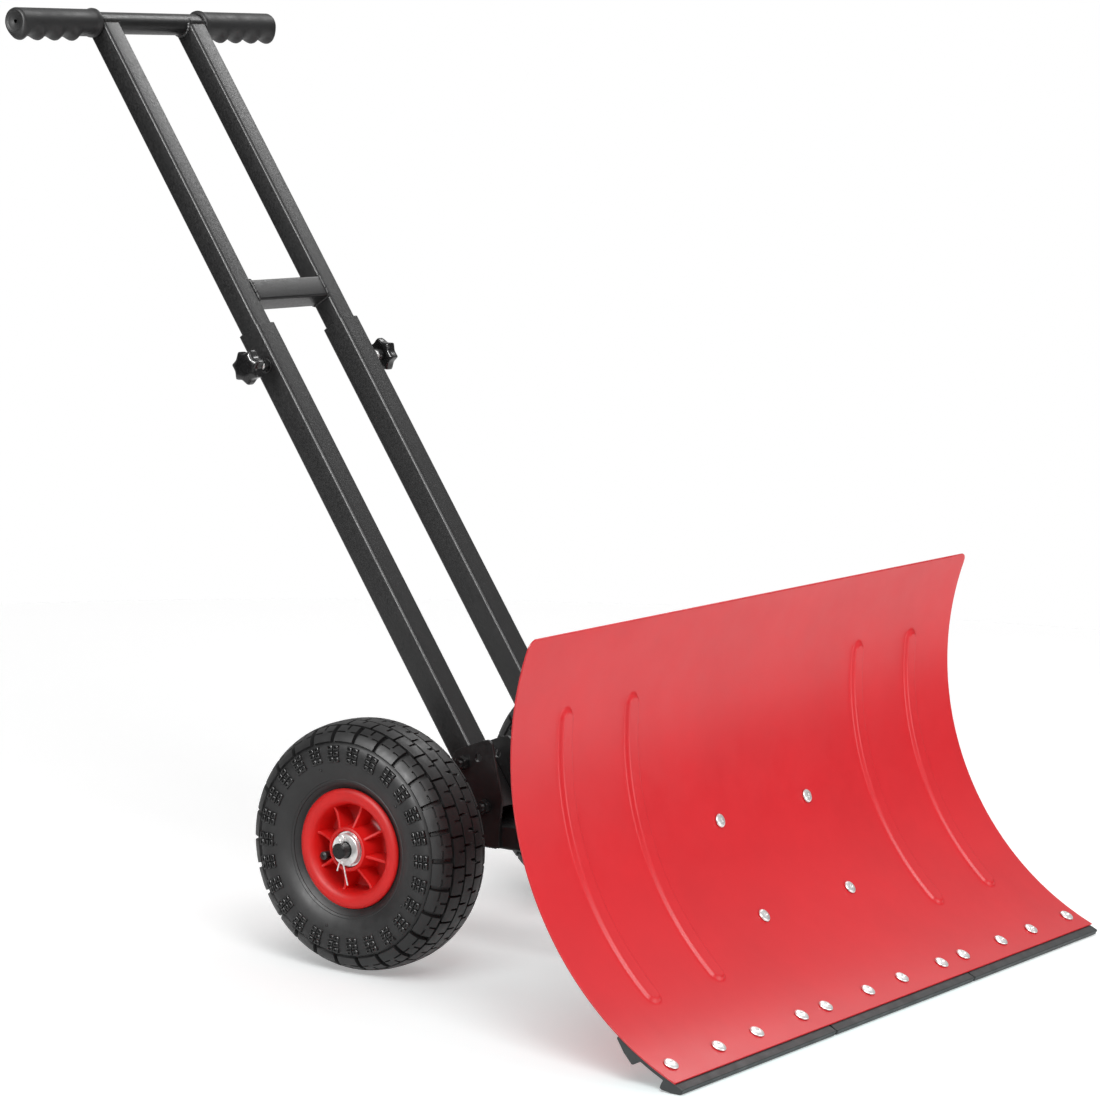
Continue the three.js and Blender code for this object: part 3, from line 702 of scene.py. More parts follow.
def on_blade(x, rise, behind=0.0):
    """A frame on the blade's front face, with +Z out of the face towards the front."""
    angle = BLADE_BOTTOM_ANGLE + rise / BLADE_RADIUS
    y, z = blade_point(rise, behind)
    return Matrix.Translation((x, y, z)) @ Matrix.Rotation(angle + math.pi / 2, 4, "X")


def blade_point(rise, behind=0.0):
    """(y, z) at a distance up the blade's curve and behind its front face."""
    angle = BLADE_BOTTOM_ANGLE + rise / BLADE_RADIUS
    radius = BLADE_RADIUS + behind
    return BLADE_CENTRE_Y + radius * math.cos(angle), BLADE_CENTRE_Z + radius * math.sin(angle)


# ---------- blade ----------


def spaced(low, high, step):
    count = max(1, round((high - low) / step))
    return [low + (high - low) * index / count for index in range(count + 1)]


def rib_rise(x, rise):
    """How far the pressed ribs stand out of the blade at a point."""
    height = 0.0
    for plane in RIB_PLANES:
        low, high = RIB_LOW + RIB_HALF_WIDTH, RIB_HIGH - RIB_HALF_WIDTH
        nearest = min(max(rise, low), high)
        away = math.hypot(x - plane, rise - nearest) / RIB_HALF_WIDTH
        if away < RIB_FOOT:
            share = min(1.0, (RIB_FOOT - away) / RIB_FLANK)
            height = max(height, RIB_HEIGHT * share * share * (3 - 2 * share))
    return height


def blade_shape():
    columns = {-BLADE_HALF_WIDTH, BLADE_HALF_WIDTH}
    columns.update(spaced(-BLADE_HALF_WIDTH, BLADE_HALF_WIDTH, 29))
    columns = {x for x in columns if all(abs(x - plane) > 15 for plane in RIB_PLANES)}
    for plane in RIB_PLANES:
        columns.update(plane + offset for offset in spaced(-12.4, 12.4, 0.95))
    columns = sorted(columns)
    fine_ends = spaced(RIB_LOW - 4, RIB_LOW + 18, 1.7) + spaced(RIB_HIGH - 18, RIB_HIGH + 4, 1.7)
    rows = sorted({
        *spaced(0, RIB_LOW - 4, 7), *spaced(RIB_LOW + 18, RIB_HIGH - 18, 6), *fine_ends,
        *spaced(RIB_HIGH + 4, BLADE_ARC - BLADE_CORNER, 7),
        *(BLADE_ARC - BLADE_CORNER * (1 - math.sin(math.pi / 2 * step / 6)) for step in range(1, 7)),
    })

    def half_width(rise):
        over = rise - (BLADE_ARC - BLADE_CORNER)
        if over <= 0:
            return BLADE_HALF_WIDTH
        return BLADE_HALF_WIDTH - BLADE_CORNER + math.sqrt(max(0.0, BLADE_CORNER**2 - over**2))

    def spot(column, rise, behind):
        x = column * half_width(rise) / BLADE_HALF_WIDTH
        y, z = blade_point(rise, behind - rib_rise(column, rise))
        return (x, y, z)

    front = [[spot(column, rise, 0) for column in columns] for rise in rows]
    back = [[spot(column, rise, BLADE_THICKNESS) for column in reversed(columns)] for rise in rows]
    return loft([near + far for near, far in zip(front, back)])


def build_blade():
    piece("blade_sheet", blade_shape(), "blade_paint", "frame", "blade", bevel=0.45, sharp=50)
    bolt = joined(lifted_head(7, 3.2), threaded_shank(M8_RADIUS, -16, 0.2))
    nut = hexagon(M8_FLATS, -12.3, -6.2, M8_NUT_BORE)
    for side, sign in SIDES:
        for level, rise in zip(("lower", "upper"), BLADE_BOLT_RISES):
            place = on_blade(sign * BLADE_BOLT_PLANE, rise)
            plated(f"blade_screw_{side}_{level}", bolt, f"blade_bolt_{side}_{level}", place)
            plated(f"blade_hex_nut_{side}_{level}", nut, f"blade_nut_{side}_{level}", place)


# ---------- scraper ----------


def scraper_outline():
    """The strip's section in (y, z): strip behind the blade, a tooth above, a nose on the ground."""
    back = BLADE_THICKNESS + GAP
    rear = back + SCRAPER_THICKNESS
    outline = [blade_point(rise, back) for rise in (-3, 0, 14, 28, 42, 56, 70)]
    outline += [
        blade_point(71.4, back + 1.6), blade_point(71, back + 3.5), blade_point(58, back + 9),
        blade_point(46, back + 12.4), blade_point(44.6, back + 11.4), blade_point(42.2, back + 6),
        blade_point(41, rear), blade_point(27, rear), blade_point(13, rear),
        blade_point(13.4, back + 8), blade_point(13, back + 12.5), blade_point(10.8, back + 13),
    ]
    outline += [
        (AXLE_Y - 494.6, 0.6), (AXLE_Y - 496.5, 0), (AXLE_Y - 506.5, 0),
        (AXLE_Y - 508.8, 0.5), (AXLE_Y - 509.2, 2.2),
    ]
    outline.append(blade_point(-9.4, back + 0.5))
    return outline


def build_scrapers():
    outline = scraper_outline()
    half = SCRAPER_PITCH / 2 - SCRAPER_END_GAP
    bolt = joined(lifted_head(7.4, 2.9), threaded_shank(M6_RADIUS, -13, 0.2, 1.0))
    washer = lathe([(3.3, -6.9), (7, -6.9), (7, -6.25), (3.3, -6.25)], 32)
    nut = joined(hexagon(M6_FLATS, -11.4, -6.9, M6_NUT_BORE), washer)
    for segment, name in enumerate(("right", "centre", "left")):
        middle = (segment - 1) * SCRAPER_PITCH
        strip = loft([[(middle + x, y, z) for y, z in outline] for x in (-half, half)])
        node = f"scraper_{name}"
        piece(f"scraper_strip_{name}", strip, "scraper_rubber", "frame", node, bevel=0.9, sharp=30)
        for number, offset in enumerate(SCRAPER_BOLT_OFFSETS, 1):
            place = on_blade(middle + offset, SCRAPER_BOLT_RISE)
            plated(f"scraper_screw_{name}_{number}", bolt, f"scraper_bolt_{name}_{number}", place)
            plated(f"scraper_nut_{name}_{number}", nut, (), place)


# ---------- base frame and axle ----------


def plate_outline():
    """The side plate's outline in (y, z), measured from the axle's Y."""
    outline = [(-79, MEMBER_LOW + 1), (20, MEMBER_LOW + 1), (20, 146), (-13, 192)]
    outline += arc(-32.6, 197.4, 15, -0.2, 1.2, 8)
    outline.append((-57, 223.5))
    outline += arc(-62, 218, 6.5, 0.9, 3, 8)
    outline += [(-75, 189.6), (-82, 164.8), (-79, 139)]
    return [(AXLE_Y + y, z) for y, z in outline]


def plate_with_holes(x_low, x_high, holes):
    """A plate in the (y, z) plane with round holes, made solid along X."""
    flat = bmesh.new()
    edges = []
    outline = plate_outline()
    loops = [outline] + [arc(y, z, radius, 0, FULL_TURN, 24)[:-1] for y, z, radius in holes]
    for loop in loops:
        spots = [flat.verts.new((x_low, y, z)) for y, z in loop]
        edges += [flat.edges.new((a, b)) for a, b in zip(spots, spots[1:] + spots[:1])]
    filled = bmesh.ops.triangle_fill(flat, use_beauty=True, use_dissolve=True, edges=edges)
    faces = [item for item in filled["geom"] if isinstance(item, bmesh.types.BMFace)]
    raised = bmesh.ops.extrude_face_region(flat, geom=faces)
    tops = [item for item in raised["geom"] if isinstance(item, bmesh.types.BMVert)]
    bmesh.ops.translate(flat, verts=tops, vec=(x_high - x_low, 0, 0))
    flat.verts.index_update()
    shape = ([tuple(v.co) for v in flat.verts], [tuple(v.index for v in f.verts) for f in flat.faces])
    flat.free()
    return shape


def behind_strap(z, offset):
    """Y of the strap's rear face at a height, and so far behind it."""
    reach = BLADE_RADIUS + STRAP_FRONT + STRAP_THICKNESS + offset
    return BLADE_CENTRE_Y + math.sqrt(reach**2 - (BLADE_CENTRE_Z - z) ** 2)


def level_tube(plane):
    """A level tube under the rails; its front end follows the strap behind the blade."""
    inner_width = MEMBER_WIDTH - 2 * MEMBER_WALL
    inner_height = MEMBER_HEIGHT - 2 * MEMBER_WALL
    outside = rounded_square(MEMBER_WIDTH, MEMBER_HEIGHT, MEMBER_CORNER)
    inside = rounded_square(inner_width, inner_height, MEMBER_CORNER - MEMBER_WALL)

    def front(outline):
        return [(plane + x, behind_strap(MEMBER_MIDDLE + z, -1), MEMBER_MIDDLE + z) for x, z in outline]

    def rear(outline):
        return [(plane + x, AXLE_Y + MEMBER_REAR, MEMBER_MIDDLE + z) for x, z in outline]

    return loft([front(outside), rear(outside), rear(inside), front(inside)], closed=True)


def strap_shape(plane):
    """The curved strap welded behind the blade."""
    half = STRAP_WIDTH / 2
    corner = STRAP_CORNER
    straight_low, straight_high = STRAP_LOW + corner, STRAP_HIGH - corner

    def width_at(rise):
        over = max(straight_low - rise, rise - straight_high, 0.0)
        return half - corner + math.sqrt(max(0.0, corner**2 - over**2))

    rises = set(spaced(STRAP_LOW, STRAP_HIGH, 8))
    for step in range(5):
        share = corner * math.cos(math.pi / 2 * step / 4)
        rises.update((straight_low - share, straight_high + share))
    rings = []
    for rise in sorted(rises):
        near = blade_point(rise, STRAP_FRONT)
        far = blade_point(rise, STRAP_FRONT + STRAP_THICKNESS)
        left, right = plane + width_at(rise), plane - width_at(rise)
        rings.append([(right, *near), (left, *near), (left, *far), (right, *far)])
    return loft(rings)


def rail_spot(along, front=0.0):
    """(y, z) at a distance along the rails and in front of their middle."""
    spot = RAILS @ Vector((0, -front, along))
    return spot.y, spot.z


def plate_welds(edge):
    """The seams of a side plate on the level tube, above and below."""
    upper = [(edge, AXLE_Y + y, MEMBER_HIGH - 0.2) for y in (-76, -30)]
    lower = [(edge, AXLE_Y + y, MEMBER_LOW + 1) for y in (-74, -30)]
    return joined(weld_bead(upper), weld_bead(lower, 1.3))


def member_welds(sign):
    """The seams of a level tube on its strap and round the cross tube."""
    ends = [sign * (RAIL_PLANE - MEMBER_WIDTH / 2), sign * (RAIL_PLANE + MEMBER_WIDTH / 2)]
    beads = []
    for z in (MEMBER_LOW, MEMBER_HIGH):
        y = behind_strap(z, 0.4)
        beads.append(weld_bead([(x, y, z) for x in ends], 2.0))
    face = sign * (RAIL_PLANE - MEMBER_WIDTH / 2 - GAP)
    ring = rounded_square(MEMBER_HEIGHT, MEMBER_HEIGHT, MEMBER_CORNER, 3)
    around = [(face, AXLE_Y + CROSS_TUBE_Y + y, MEMBER_MIDDLE + z) for y, z in ring]
    return joined(*beads, weld_bead(around, 1.6, closed=True))


def build_base_frame():
    half_cross = RAIL_PLANE - MEMBER_WIDTH / 2 + 0.5
    middle = Matrix.Translation((0, AXLE_Y + CROSS_TUBE_Y, MEMBER_MIDDLE))
    cross = square_tube(MEMBER_HEIGHT, MEMBER_HEIGHT, MEMBER_WALL, -half_cross, half_cross)
    painted("frame_cross_tube", moved(cross, middle @ ACROSS_X), "base_frame", bevel=0.4)
    bolt_hole = 4.4
    axle_hole = 8.6
    holes = [
        (*rail_spot(0), bolt_hole), (*rail_spot(RAIL_BOLT_PITCH), bolt_hole),
        SPARE_HOLE, (AXLE_Y, AXLE_Z, axle_hole),
    ]
    for side, sign in SIDES:
        plane = sign * RAIL_PLANE
        painted(f"frame_level_tube_{side}", level_tube(plane), "base_frame", bevel=0.4)
        painted(f"blade_strap_{side}", strap_shape(sign * BLADE_BOLT_PLANE), "base_frame", bevel=0.7)
        for face, where in ((sign, "outer"), (-sign, "inner")):
            start = plane + face * (RAIL_OUTER / 2 + GAP)
            plate = plate_with_holes(start, start + face * PLATE_THICKNESS, holes)
            painted(f"side_plate_{where}_{side}", plate, "base_frame", bevel=0.45)
            painted(f"plate_weld_{where}_{side}", plate_welds(start + face * 0.2), "base_frame")
        painted(f"frame_welds_{side}", member_welds(sign), "base_frame")


def split_pin_shape():
    """An eye above the axle, and two legs through it that are spread below."""
    eye = []
    for step in range(9):
        angle = math.radians(235 - 290 * step / 8)
        eye.append((PIN_EYE_RADIUS * math.cos(angle), PIN_EYE_HEIGHT + PIN_EYE_RADIUS * math.sin(angle)))
    left = [(-PIN_LEG_OFFSET, z) for z in (-9.2, 0, 7.4)]
    right = [(PIN_LEG_OFFSET, z) for z in (7.4, 0, -9.2)]
    route = [(-8.4, -34), (-5.3, -23), (-2.4, -13), *left, *eye, *right, (2.6, -13.2), (5, -21)]
    return sweep(curve_through([(0, y, z) for y, z in route]), PIN_WIRE_RADIUS, 12)


def build_axle():
    tip = AXLE_RADIUS - AXLE_CHAMFER
    end = AXLE_END - AXLE_CHAMFER
    profile = [(0, -AXLE_END), (tip, -AXLE_END), (AXLE_RADIUS, -end), (AXLE_RADIUS, end)]
    rod = lathe([*profile, (tip, AXLE_END), (0, AXLE_END)], 48, closed=False)
    painted("axle_rod", rod, "axle", along_x(0, AXLE_Y, AXLE_Z), material=BLACK_OXIDE)
    for side, sign in SIDES:
        place = Matrix.Translation((sign * PIN_PLANE, AXLE_Y, AXLE_Z))
        piece(f"cotter_wire_{side}", split_pin_shape(), "zinc_steel", "frame",
              f"split_pin_{side}", place, sharp=60)


# ---------- rails and handle ----------


def weld_nut_shape():
    """The clamp's nut on the rail, with its weld."""
    ring = circle(7.2, 0.2, 40)
    weld = sweep(ring, lambda along: 1.1 + 0.2 * abs(math.sin(along)), 8, closed=True)
    return joined(hexagon(M8_FLATS, -0.3, 6, 4.3), weld)


def build_rails():
    outer_x = RAIL_OUTER / 2
    plate_face = outer_x + GAP + PLATE_THICKNESS
    head = hexagon(M8_FLATS, -plate_face - 5.3, -plate_face - GAP)
    bolt = joined(head, threaded_shank(M8_RADIUS, -plate_face - 0.4, plate_face + 11.5))
    nut = hexagon(M8_FLATS, plate_face + GAP, plate_face + 6.8, M8_NUT_BORE)
    for side, sign in SIDES:
        x = sign * RAIL_PLANE
        across = Matrix.Translation((x, 0, 0))
        tube = moved(square_tube(RAIL_OUTER, RAIL_OUTER, RAIL_WALL, RAIL_START, RAIL_END, 3.2), across)
        painted(f"lower_rail_tube_{side}", tube, f"lower_rail_{side}", RAILS, bevel=0.35)
        nut_place = RAILS @ along_x(x + sign * outer_x, 0, KNOB_ALONG, sign)
        painted(f"rail_weld_nut_{side}", weld_nut_shape(), f"lower_rail_{side}", nut_place, sharp=32)
        for level, along in (("lower", 0), ("upper", RAIL_BOLT_PITCH)):
            place = along_x(x, *rail_spot(along), sign)
            plated(f"rail_hex_bolt_{side}_{level}", bolt, f"rail_bolt_{side}_{level}", place,
                   material=BLACK_OXIDE)
            plated(f"rail_hex_nut_{side}_{level}", nut, f"rail_nut_{side}_{level}", place,
                   material=BLACK_OXIDE)


def under_handle(deep):
    """How far the round handle tube reaches down from its middle, so far from its centre plane."""
    return math.sqrt(max(0.0, HANDLE_RADIUS**2 - deep**2))


def coped_ring(outline, x):
    """A tube's top ring, cut to the round handle tube above it."""
    return [(x + across, deep, HANDLE_ALONG - under_handle(deep) + 0.4) for across, deep in outline]


def upright_shape(x):
    """An upper rail: open at its foot, coped to the handle tube at its top."""
    outside = rounded_square(RAIL_INNER, RAIL_INNER, 2.7)
    inside = rounded_square(RAIL_INNER - 2 * RAIL_WALL, RAIL_INNER - 2 * RAIL_WALL, 0.8)
    rings = [
        [(x + a, b, INNER_START) for a, b in outside],
        coped_ring(outside, x),
        coped_ring(inside, x),
        [(x + a, b, INNER_START) for a, b in inside],
    ]
    return loft(rings, closed=True)


def handle_welds(sign):
    """The seams of an upright on the handle tube and round the crossbar."""
    x = sign * RAIL_PLANE
    half = RAIL_INNER / 2
    seam_deep = 11.0
    level = HANDLE_ALONG - math.sqrt((HANDLE_RADIUS + 0.2) ** 2 - seam_deep**2)
    beads = []
    for deep in (-11.6, 11.6):
        beads.append(weld_bead([(x - half + 1, deep, level), (x + half - 1, deep, level)], 2.3))
    for face in (-1, 1):
        curve = []
        for step in range(13):
            deep = -seam_deep * math.cos(math.pi * step / 12)
            curve.append((x + face * (half + 0.1), deep, HANDLE_ALONG - under_handle(deep) - 0.3))
        beads.append(weld_bead(curve, 2.0))
    inner_face = sign * (RAIL_PLANE - half - GAP)
    ring = rounded_square(RAIL_INNER, RAIL_INNER, 2.8, 3)
    around = [(inner_face, y, CROSSBAR_ALONG + z) for y, z in ring]
    return joined(*beads, weld_bead(around, 1.5, closed=True))


def build_handle_frame():
    def build(name, shape, bevel=0.0):
        painted(name, shape, "handle_frame", RAILS, "handle", bevel=bevel)

    for side, sign in SIDES:
        build(f"upper_rail_tube_{side}", upright_shape(sign * RAIL_PLANE), 0.3)
        build(f"handle_welds_{side}", handle_welds(sign))
    half = RAIL_PLANE - RAIL_INNER / 2 + 0.5
    bar = square_tube(RAIL_INNER, RAIL_INNER, RAIL_WALL, -half, half, 2.8)
    build("handle_crossbar", moved(bar, Matrix.Translation((0, 0, CROSSBAR_ALONG)) @ ACROSS_X))
    end = HANDLE_HALF_LENGTH - HANDLE_TUBE_INSET
    bore = HANDLE_RADIUS - HANDLE_WALL
    tube = lathe([(HANDLE_RADIUS, -end), (HANDLE_RADIUS, end), (bore, end), (bore, -end)], 64)
    build("handle_tube", moved(tube, Matrix.Translation((0, 0, HANDLE_ALONG)) @ ACROSS_X), 0.3)


def grip_reach(angle, along):
    """Radius of the grip's section. Angle 0 is along the ridges; along is from the outer end."""
    finger = 0.5 + 0.5 * math.cos(FULL_TURN * (along - GRIP_FIRST_PEAK) / GRIP_PITCH)
    fade = min(1.0, max(0.0, (GRIP_RIDGE_END - along) / 8))
    ridge = (GRIP_RIDGE_LOW + GRIP_PEAK_RISE * finger**1.8) * fade
    point = max(0.0, math.cos(angle)) ** 4
    return GRIP_RADIUS + ridge * point


def grip_shape():
    """A grip along +Z from its outer end at 0 to its collar, ridges towards +X."""
    count = 72
    stations = [(0.4, -1.5), (1.2, -0.5), (2.6, 0.0)]
    stations += [(along, 0.0) for along in spaced(4, GRIP_LENGTH - 11, 2)]
    stations += [
        (GRIP_LENGTH - 9, 0.1), (GRIP_LENGTH - 6.5, 0.5), (GRIP_LENGTH - 4.5, 1.1), (GRIP_LENGTH - 3.2, 1.3),
        (GRIP_LENGTH - 1.6, 1.2), (GRIP_LENGTH - 0.5, 0.6), (GRIP_LENGTH, -0.6),
    ]

    def ring(along, extra):
        points = []
        for angle in full_circle(count):
            reach = grip_reach(angle, along) + extra
            points.append((reach * math.cos(angle), reach * math.sin(angle), along))
        return points

    bore = HANDLE_RADIUS + 0.15
    end_cap = [circle(radius, along, count) for radius, along in (
        (bore, 3.4), (2.1, 3.4), (2.1, 1.9), (2.7, 1.4), (9.0, 1.4), (10.4, 1.1), (11.0, 0.3),
        (11.6, 0.0), (12.4, 0.1),
    )]
    skin = [ring(along, extra) for along, extra in stations]
    return loft([circle(bore, GRIP_LENGTH, count), *end_cap, *skin], closed=True)


def build_grips():
    handle_y, handle_z = rail_spot(HANDLE_ALONG)
    for side, sign in SIDES:
        inward = Vector((-sign, 0, 0))
        down = Vector((0, -math.sin(GRIP_RIDGE_TILT), -math.cos(GRIP_RIDGE_TILT)))
        across = inward.cross(down)
        place = Matrix((
            (down.x, across.x, inward.x, sign * HANDLE_HALF_LENGTH),
            (down.y, across.y, inward.y, handle_y),
            (down.z, across.z, inward.z, handle_z),
            (0, 0, 0, 1),
        ))
        piece(f"hand_grip_{side}", grip_shape(), "grip_foam", "handle", f"grip_{side}", place, sharp=45)


def star_ring(shrink, height):
    """The knob's lobed outline, drawn in by shrink."""
    points = []
    for angle in full_circle(KNOB_SIDES):
        hollow = abs(math.sin(KNOB_LOBES * angle / 2)) ** 1.15
        radius = KNOB_RADIUS - KNOB_HOLLOW * hollow * max(0, 1 - shrink / 7) - shrink
        points.append((radius * math.cos(angle), radius * math.sin(angle), height))
    return points


def knob_shape():
    """A seven-lobed knob along Z with a smooth, slightly domed outer face."""
    stations = [
        (9.0, 0.0), (5.2, 0.0), (2.0, 0.3), (0.7, 1.0), (0.1, 2.4), (0.0, 4.5), (0.0, 8.6),
        (0.2, 10.4), (0.8, 11.6), (1.8, 12.5), (3.4, 13.3), (5.6, 14.0), (8.4, 14.6), (11.0, 14.8),
    ]
    below = [(0, -6), (6.8, -6), (7.3, -5.4), (7.6, 0.0)]
    above = [(1.6, 15.0), (0, 15.0)]
    neck, cap = ([circle(radius, height, KNOB_SIDES) for radius, height in part] for part in (below, above))
    star = [star_ring(shrink, height) for shrink, height in stations]
    return loft([*neck, *star, *cap], caps=False)


def build_knobs():
    reach = KNOB_START - RAIL_PLANE - RAIL_INNER / 2 - STUD_TIP_GAP
    collar = lathe([(0, -8.4), (6.0, -8.4), (6.4, -8.0), (6.4, -5.9), (0, -5.9)], 32, closed=False)
    stud = joined(threaded_shank(M8_RADIUS, -reach, -5.5), collar)
    for side, sign in SIDES:
        place = RAILS @ along_x(sign * KNOB_START, 0, KNOB_ALONG, sign)
        body, node = f"knob_{side}", f"clamp_knob_{side}"
        piece(f"star_knob_{side}", knob_shape(), "knob_plastic", body, node, place, sharp=50)
        plated(f"knob_stud_{side}", stud, node, place, body)


# ---------- wheels ----------


def measured_section():
    """(distance, radius, half width) down the smooth outside of the tyre from the crown."""
    smooth = curve_through([(r, w, 0) for r, w in TYRE_SECTION], 12)
    table = [(0.0, smooth[0].x, smooth[0].y)]
    for before, after in zip(smooth, smooth[1:]):
        table.append((table[-1][0] + (after - before).length, after.x, after.y))
    return table


SECTION = measured_section()


def section_at(distance, sink):
    """(radius, width) on the tyre at a signed distance from the crown, sunk under the surface."""
    away = min(abs(distance), SECTION[-1][0])
    index = next(i for i in range(1, len(SECTION)) if SECTION[i][0] >= away - 1e-9)
    (s0, r0, w0), (s1, r1, w1) = SECTION[index - 1], SECTION[index]
    share = (away - s0) / (s1 - s0)
    slope = math.hypot(r1 - r0, w1 - w0)
    out_r, out_w = (w1 - w0) / slope, -(r1 - r0) / slope
    radius = r0 + (r1 - r0) * share - sink * out_r
    width = w0 + (w1 - w0) * share - sink * out_w
    return radius, math.copysign(width, distance) if distance else 0.0


def within(value, low, high):
    return low - 1e-6 <= value <= high + 1e-6


def tread_sink(distance, cell):
    """How deep the tread pattern is cut at a distance from the crown and a place in the pitch."""
    away = abs(distance)
    if distance < 0:
        cell = (cell + CELLS / 2) % CELLS
    wall = TREAD_WALL

    def slot(number):
        return within(cell, number + wall, number + 1 - wall)

    if away > TREAD_EDGE:
        fade = max(0.0, (TREAD_FADE_END - away) / 8)
        return TREAD_DEPTH * 0.55 if away < TREAD_STEP_END else DASH_DEPTH * fade
    if within(away, *CENTRE_GROOVE) or within(away, *SHOULDER_GROOVE):
        return TREAD_DEPTH
    if away < CENTRE_GROOVE[0]:
        return TREAD_DEPTH if slot(0) else 0.0
    if away < SHOULDER_GROOVE[0]:
        if slot(4):
            return TREAD_DEPTH
        return SIPE_DEPTH if slot(10) and away < SHORT_SIPE_END else 0.0
    if within(cell, SHOULDER_GAP[0] + wall, SHOULDER_GAP[1] - wall):
        return TREAD_DEPTH
    if slot(1) and away < LONG_SIPE_END:
        return SIPE_DEPTH
    dashed = within(away, *DASHES) and any(within(cell, low, high) for low, high in DASH_CELLS)
    return DASH_DEPTH if dashed else 0.0


def tyre_shape():
    wall = TREAD_WALL
    cuts = [cell + edge for cell in (0, 1, 4, 10) for edge in (0, wall, 1 - wall, 1)]
    cuts += [edge + side for edge in SHOULDER_GAP for side in (-wall, wall)]
    cells = sorted({round(c, 4) % CELLS for c in cuts} | {2.5, 3.2, 5.5, 6.25, 9.2, 11.4})
    rows = [
        0, 3.6, 7.0, *CENTRE_GROOVE, 9.6, 13, 17.0, 17.5, 20.5, 23.6, *SHOULDER_GROOVE, 26.4, 29.6,
        33.0, 33.5, 35.6, *DASHES, 37.6, 40.5, 44, 47.4, 48.2, 50, 53, 57, 61, 66, 71, 76, 80, 84,
        87.4, 88, 90.4, 91, 94, SECTION[-1][0],
    ]
    distances = [-d for d in reversed(rows[1:])] + rows
    angles = [
        (FULL_TURN * (pitch + cell / CELLS) / TREAD_PITCHES, cell)
        for pitch in range(TREAD_PITCHES) for cell in cells
    ]
    rings = []
    for distance in distances:
        ridge = -0.6 if within(abs(distance), 88, 90.4) else 0.0
        ring = []
        for angle, cell in angles:
            radius, width = section_at(distance, ridge + tread_sink(distance, cell))
            ring.append((radius * math.cos(angle), radius * math.sin(angle), width))
        rings.append(ring)
    inside = [(52, 29.8), (51.2, 25), (60, 30), (80, 36), (100, 37), (114, 30), (120, 14), (121, 0)]
    for radius, width in inside + [(radius, -width) for radius, width in reversed(inside[:-1])]:
        rings.append([(radius * math.cos(angle), radius * math.sin(angle), width) for angle, _ in angles])
    return loft(rings, closed=True)


def small_block(angle, distance, long_mm, wide_mm, raised):
    """A raised block with a pit on the tyre's side."""
    radius, width = section_at(distance, 0)
    inner_r, inner_w = section_at(distance + math.copysign(0.5, distance), 0)
    down = Vector((inner_r - radius, 0, inner_w - width)).normalized()
    out = Vector((-down.z, 0, down.x))
    if out.z * distance < 0:
        out = -out
    turn = Matrix.Rotation(angle, 4, "Z")
    centre = Vector((radius, 0, width))
    around = Vector((0, 1, 0))
    rings = []
    pit = wide_mm / 2 - 0.9
    for level, inset in ((-0.8, 0), (raised - 0.8, 0), (raised, 0.8), (raised, pit), (raised - 1.2, pit)):
        half_long, half_wide = long_mm / 2 - inset, wide_mm / 2 - inset
        rings.append([
            tuple(turn @ (centre + out * level + down * a * half_wide + around * b * half_long))
            for a, b in ((-1, -1), (1, -1), (1, 1), (-1, 1))
        ])
    return loft(rings)


def sidewall_details():
    """Ladder marks below the shoulder, and moulding nubs, on both sides of the tyre."""
    shapes = []
    for pitch in range(TREAD_PITCHES):
        for face in (-1, 1):
            start = FULL_TURN * (pitch + (0.42 if face > 0 else 0.92)) / TREAD_PITCHES
            for column in range(2):
                for row in range(MARK_ROWS):
                    distance = face * (MARK_START + row * MARK_PITCH)
                    shapes.append(small_block(
                        start + column * MARK_STEP, distance, long_mm=6.4, wide_mm=5.1, raised=1.8,
                    ))
    nubs = 5
    nub = lathe([(0, -0.6), (1.5, -0.6), (1.5, 0.5), (1.1, 0.8), (0, 0.8)], 14, closed=False)
    for turn in range(nubs):
        for face in (-1, 1):
            angle = FULL_TURN * (turn + 0.3) / nubs
            radius, width = section_at(face * (71 if turn % 2 else 75), 0)
            place = Matrix.Rotation(angle, 4, "Z") @ Matrix.Translation((radius, 0, width))
            if face < 0:
                place = place @ Matrix.Rotation(math.pi, 4, "X")
            shapes.append(moved(nub, place))
    return joined(*shapes)


def rim_rib():
    """One rib between the rim's hub and its barrel, on the +X side."""
    inside = RIM_HUB - 0.4
    edge = [
        (inside, 5), (44.4, 5), (44.8, 28.0), (42.6, 27.0), (39, 27.2), (34, 28.8), (28, 31.2), (24.4, 33.0),
        (inside, 34.0),
    ]
    rings = []
    for y in (-RIM_RIB_HALF, -RIM_RIB_HALF + 0.5, RIM_RIB_HALF - 0.5, RIM_RIB_HALF):
        inset = 0.5 if abs(y) == RIM_RIB_HALF else 0.0
        rings.append([(r, y, z - (inset if z > 6 else 0)) for r, z in edge])
    return loft(rings)


def rim_half_shape():
    """Half of the rim along +Z: hub with bearing seat, floor, barrel, lip and ribs."""
    seat = BEARING_FACE - BEARING_WIDTH - 0.3
    profile = [
        (12, 0.15), (12, seat), (18.6, seat), (18.6, HUB_FACE - 0.8), (19.2, HUB_FACE), (21.2, HUB_FACE),
        (22.1, HUB_FACE - 0.7), (22.6, 33), (23.3, 18), (24.2, 11), (26.5, 8.2), (30, 7.4), (38, 7.2),
        (41.4, 8.0), (43.2, 10.6), (43.8, 16), (44.6, 26), (45.4, 29.8), (47.2, 33.0), (50.2, 35.0),
        (54, 35.5), (57.4, 35.2), (59.8, 34.0), (60.9, 32.4), (60.8, 31.0), (60.2, 30.6), (52, 30.6),
        (50.4, 30.2), (50, 28.6), (50, 0.15),
    ]
    ribs = [
        moved(rim_rib(), Matrix.Rotation(RIM_RIB_TURN + turn, 4, "Z"))
        for turn in full_circle(RIM_RIBS)
    ]
    return joined(lathe(profile, 96), *ribs)


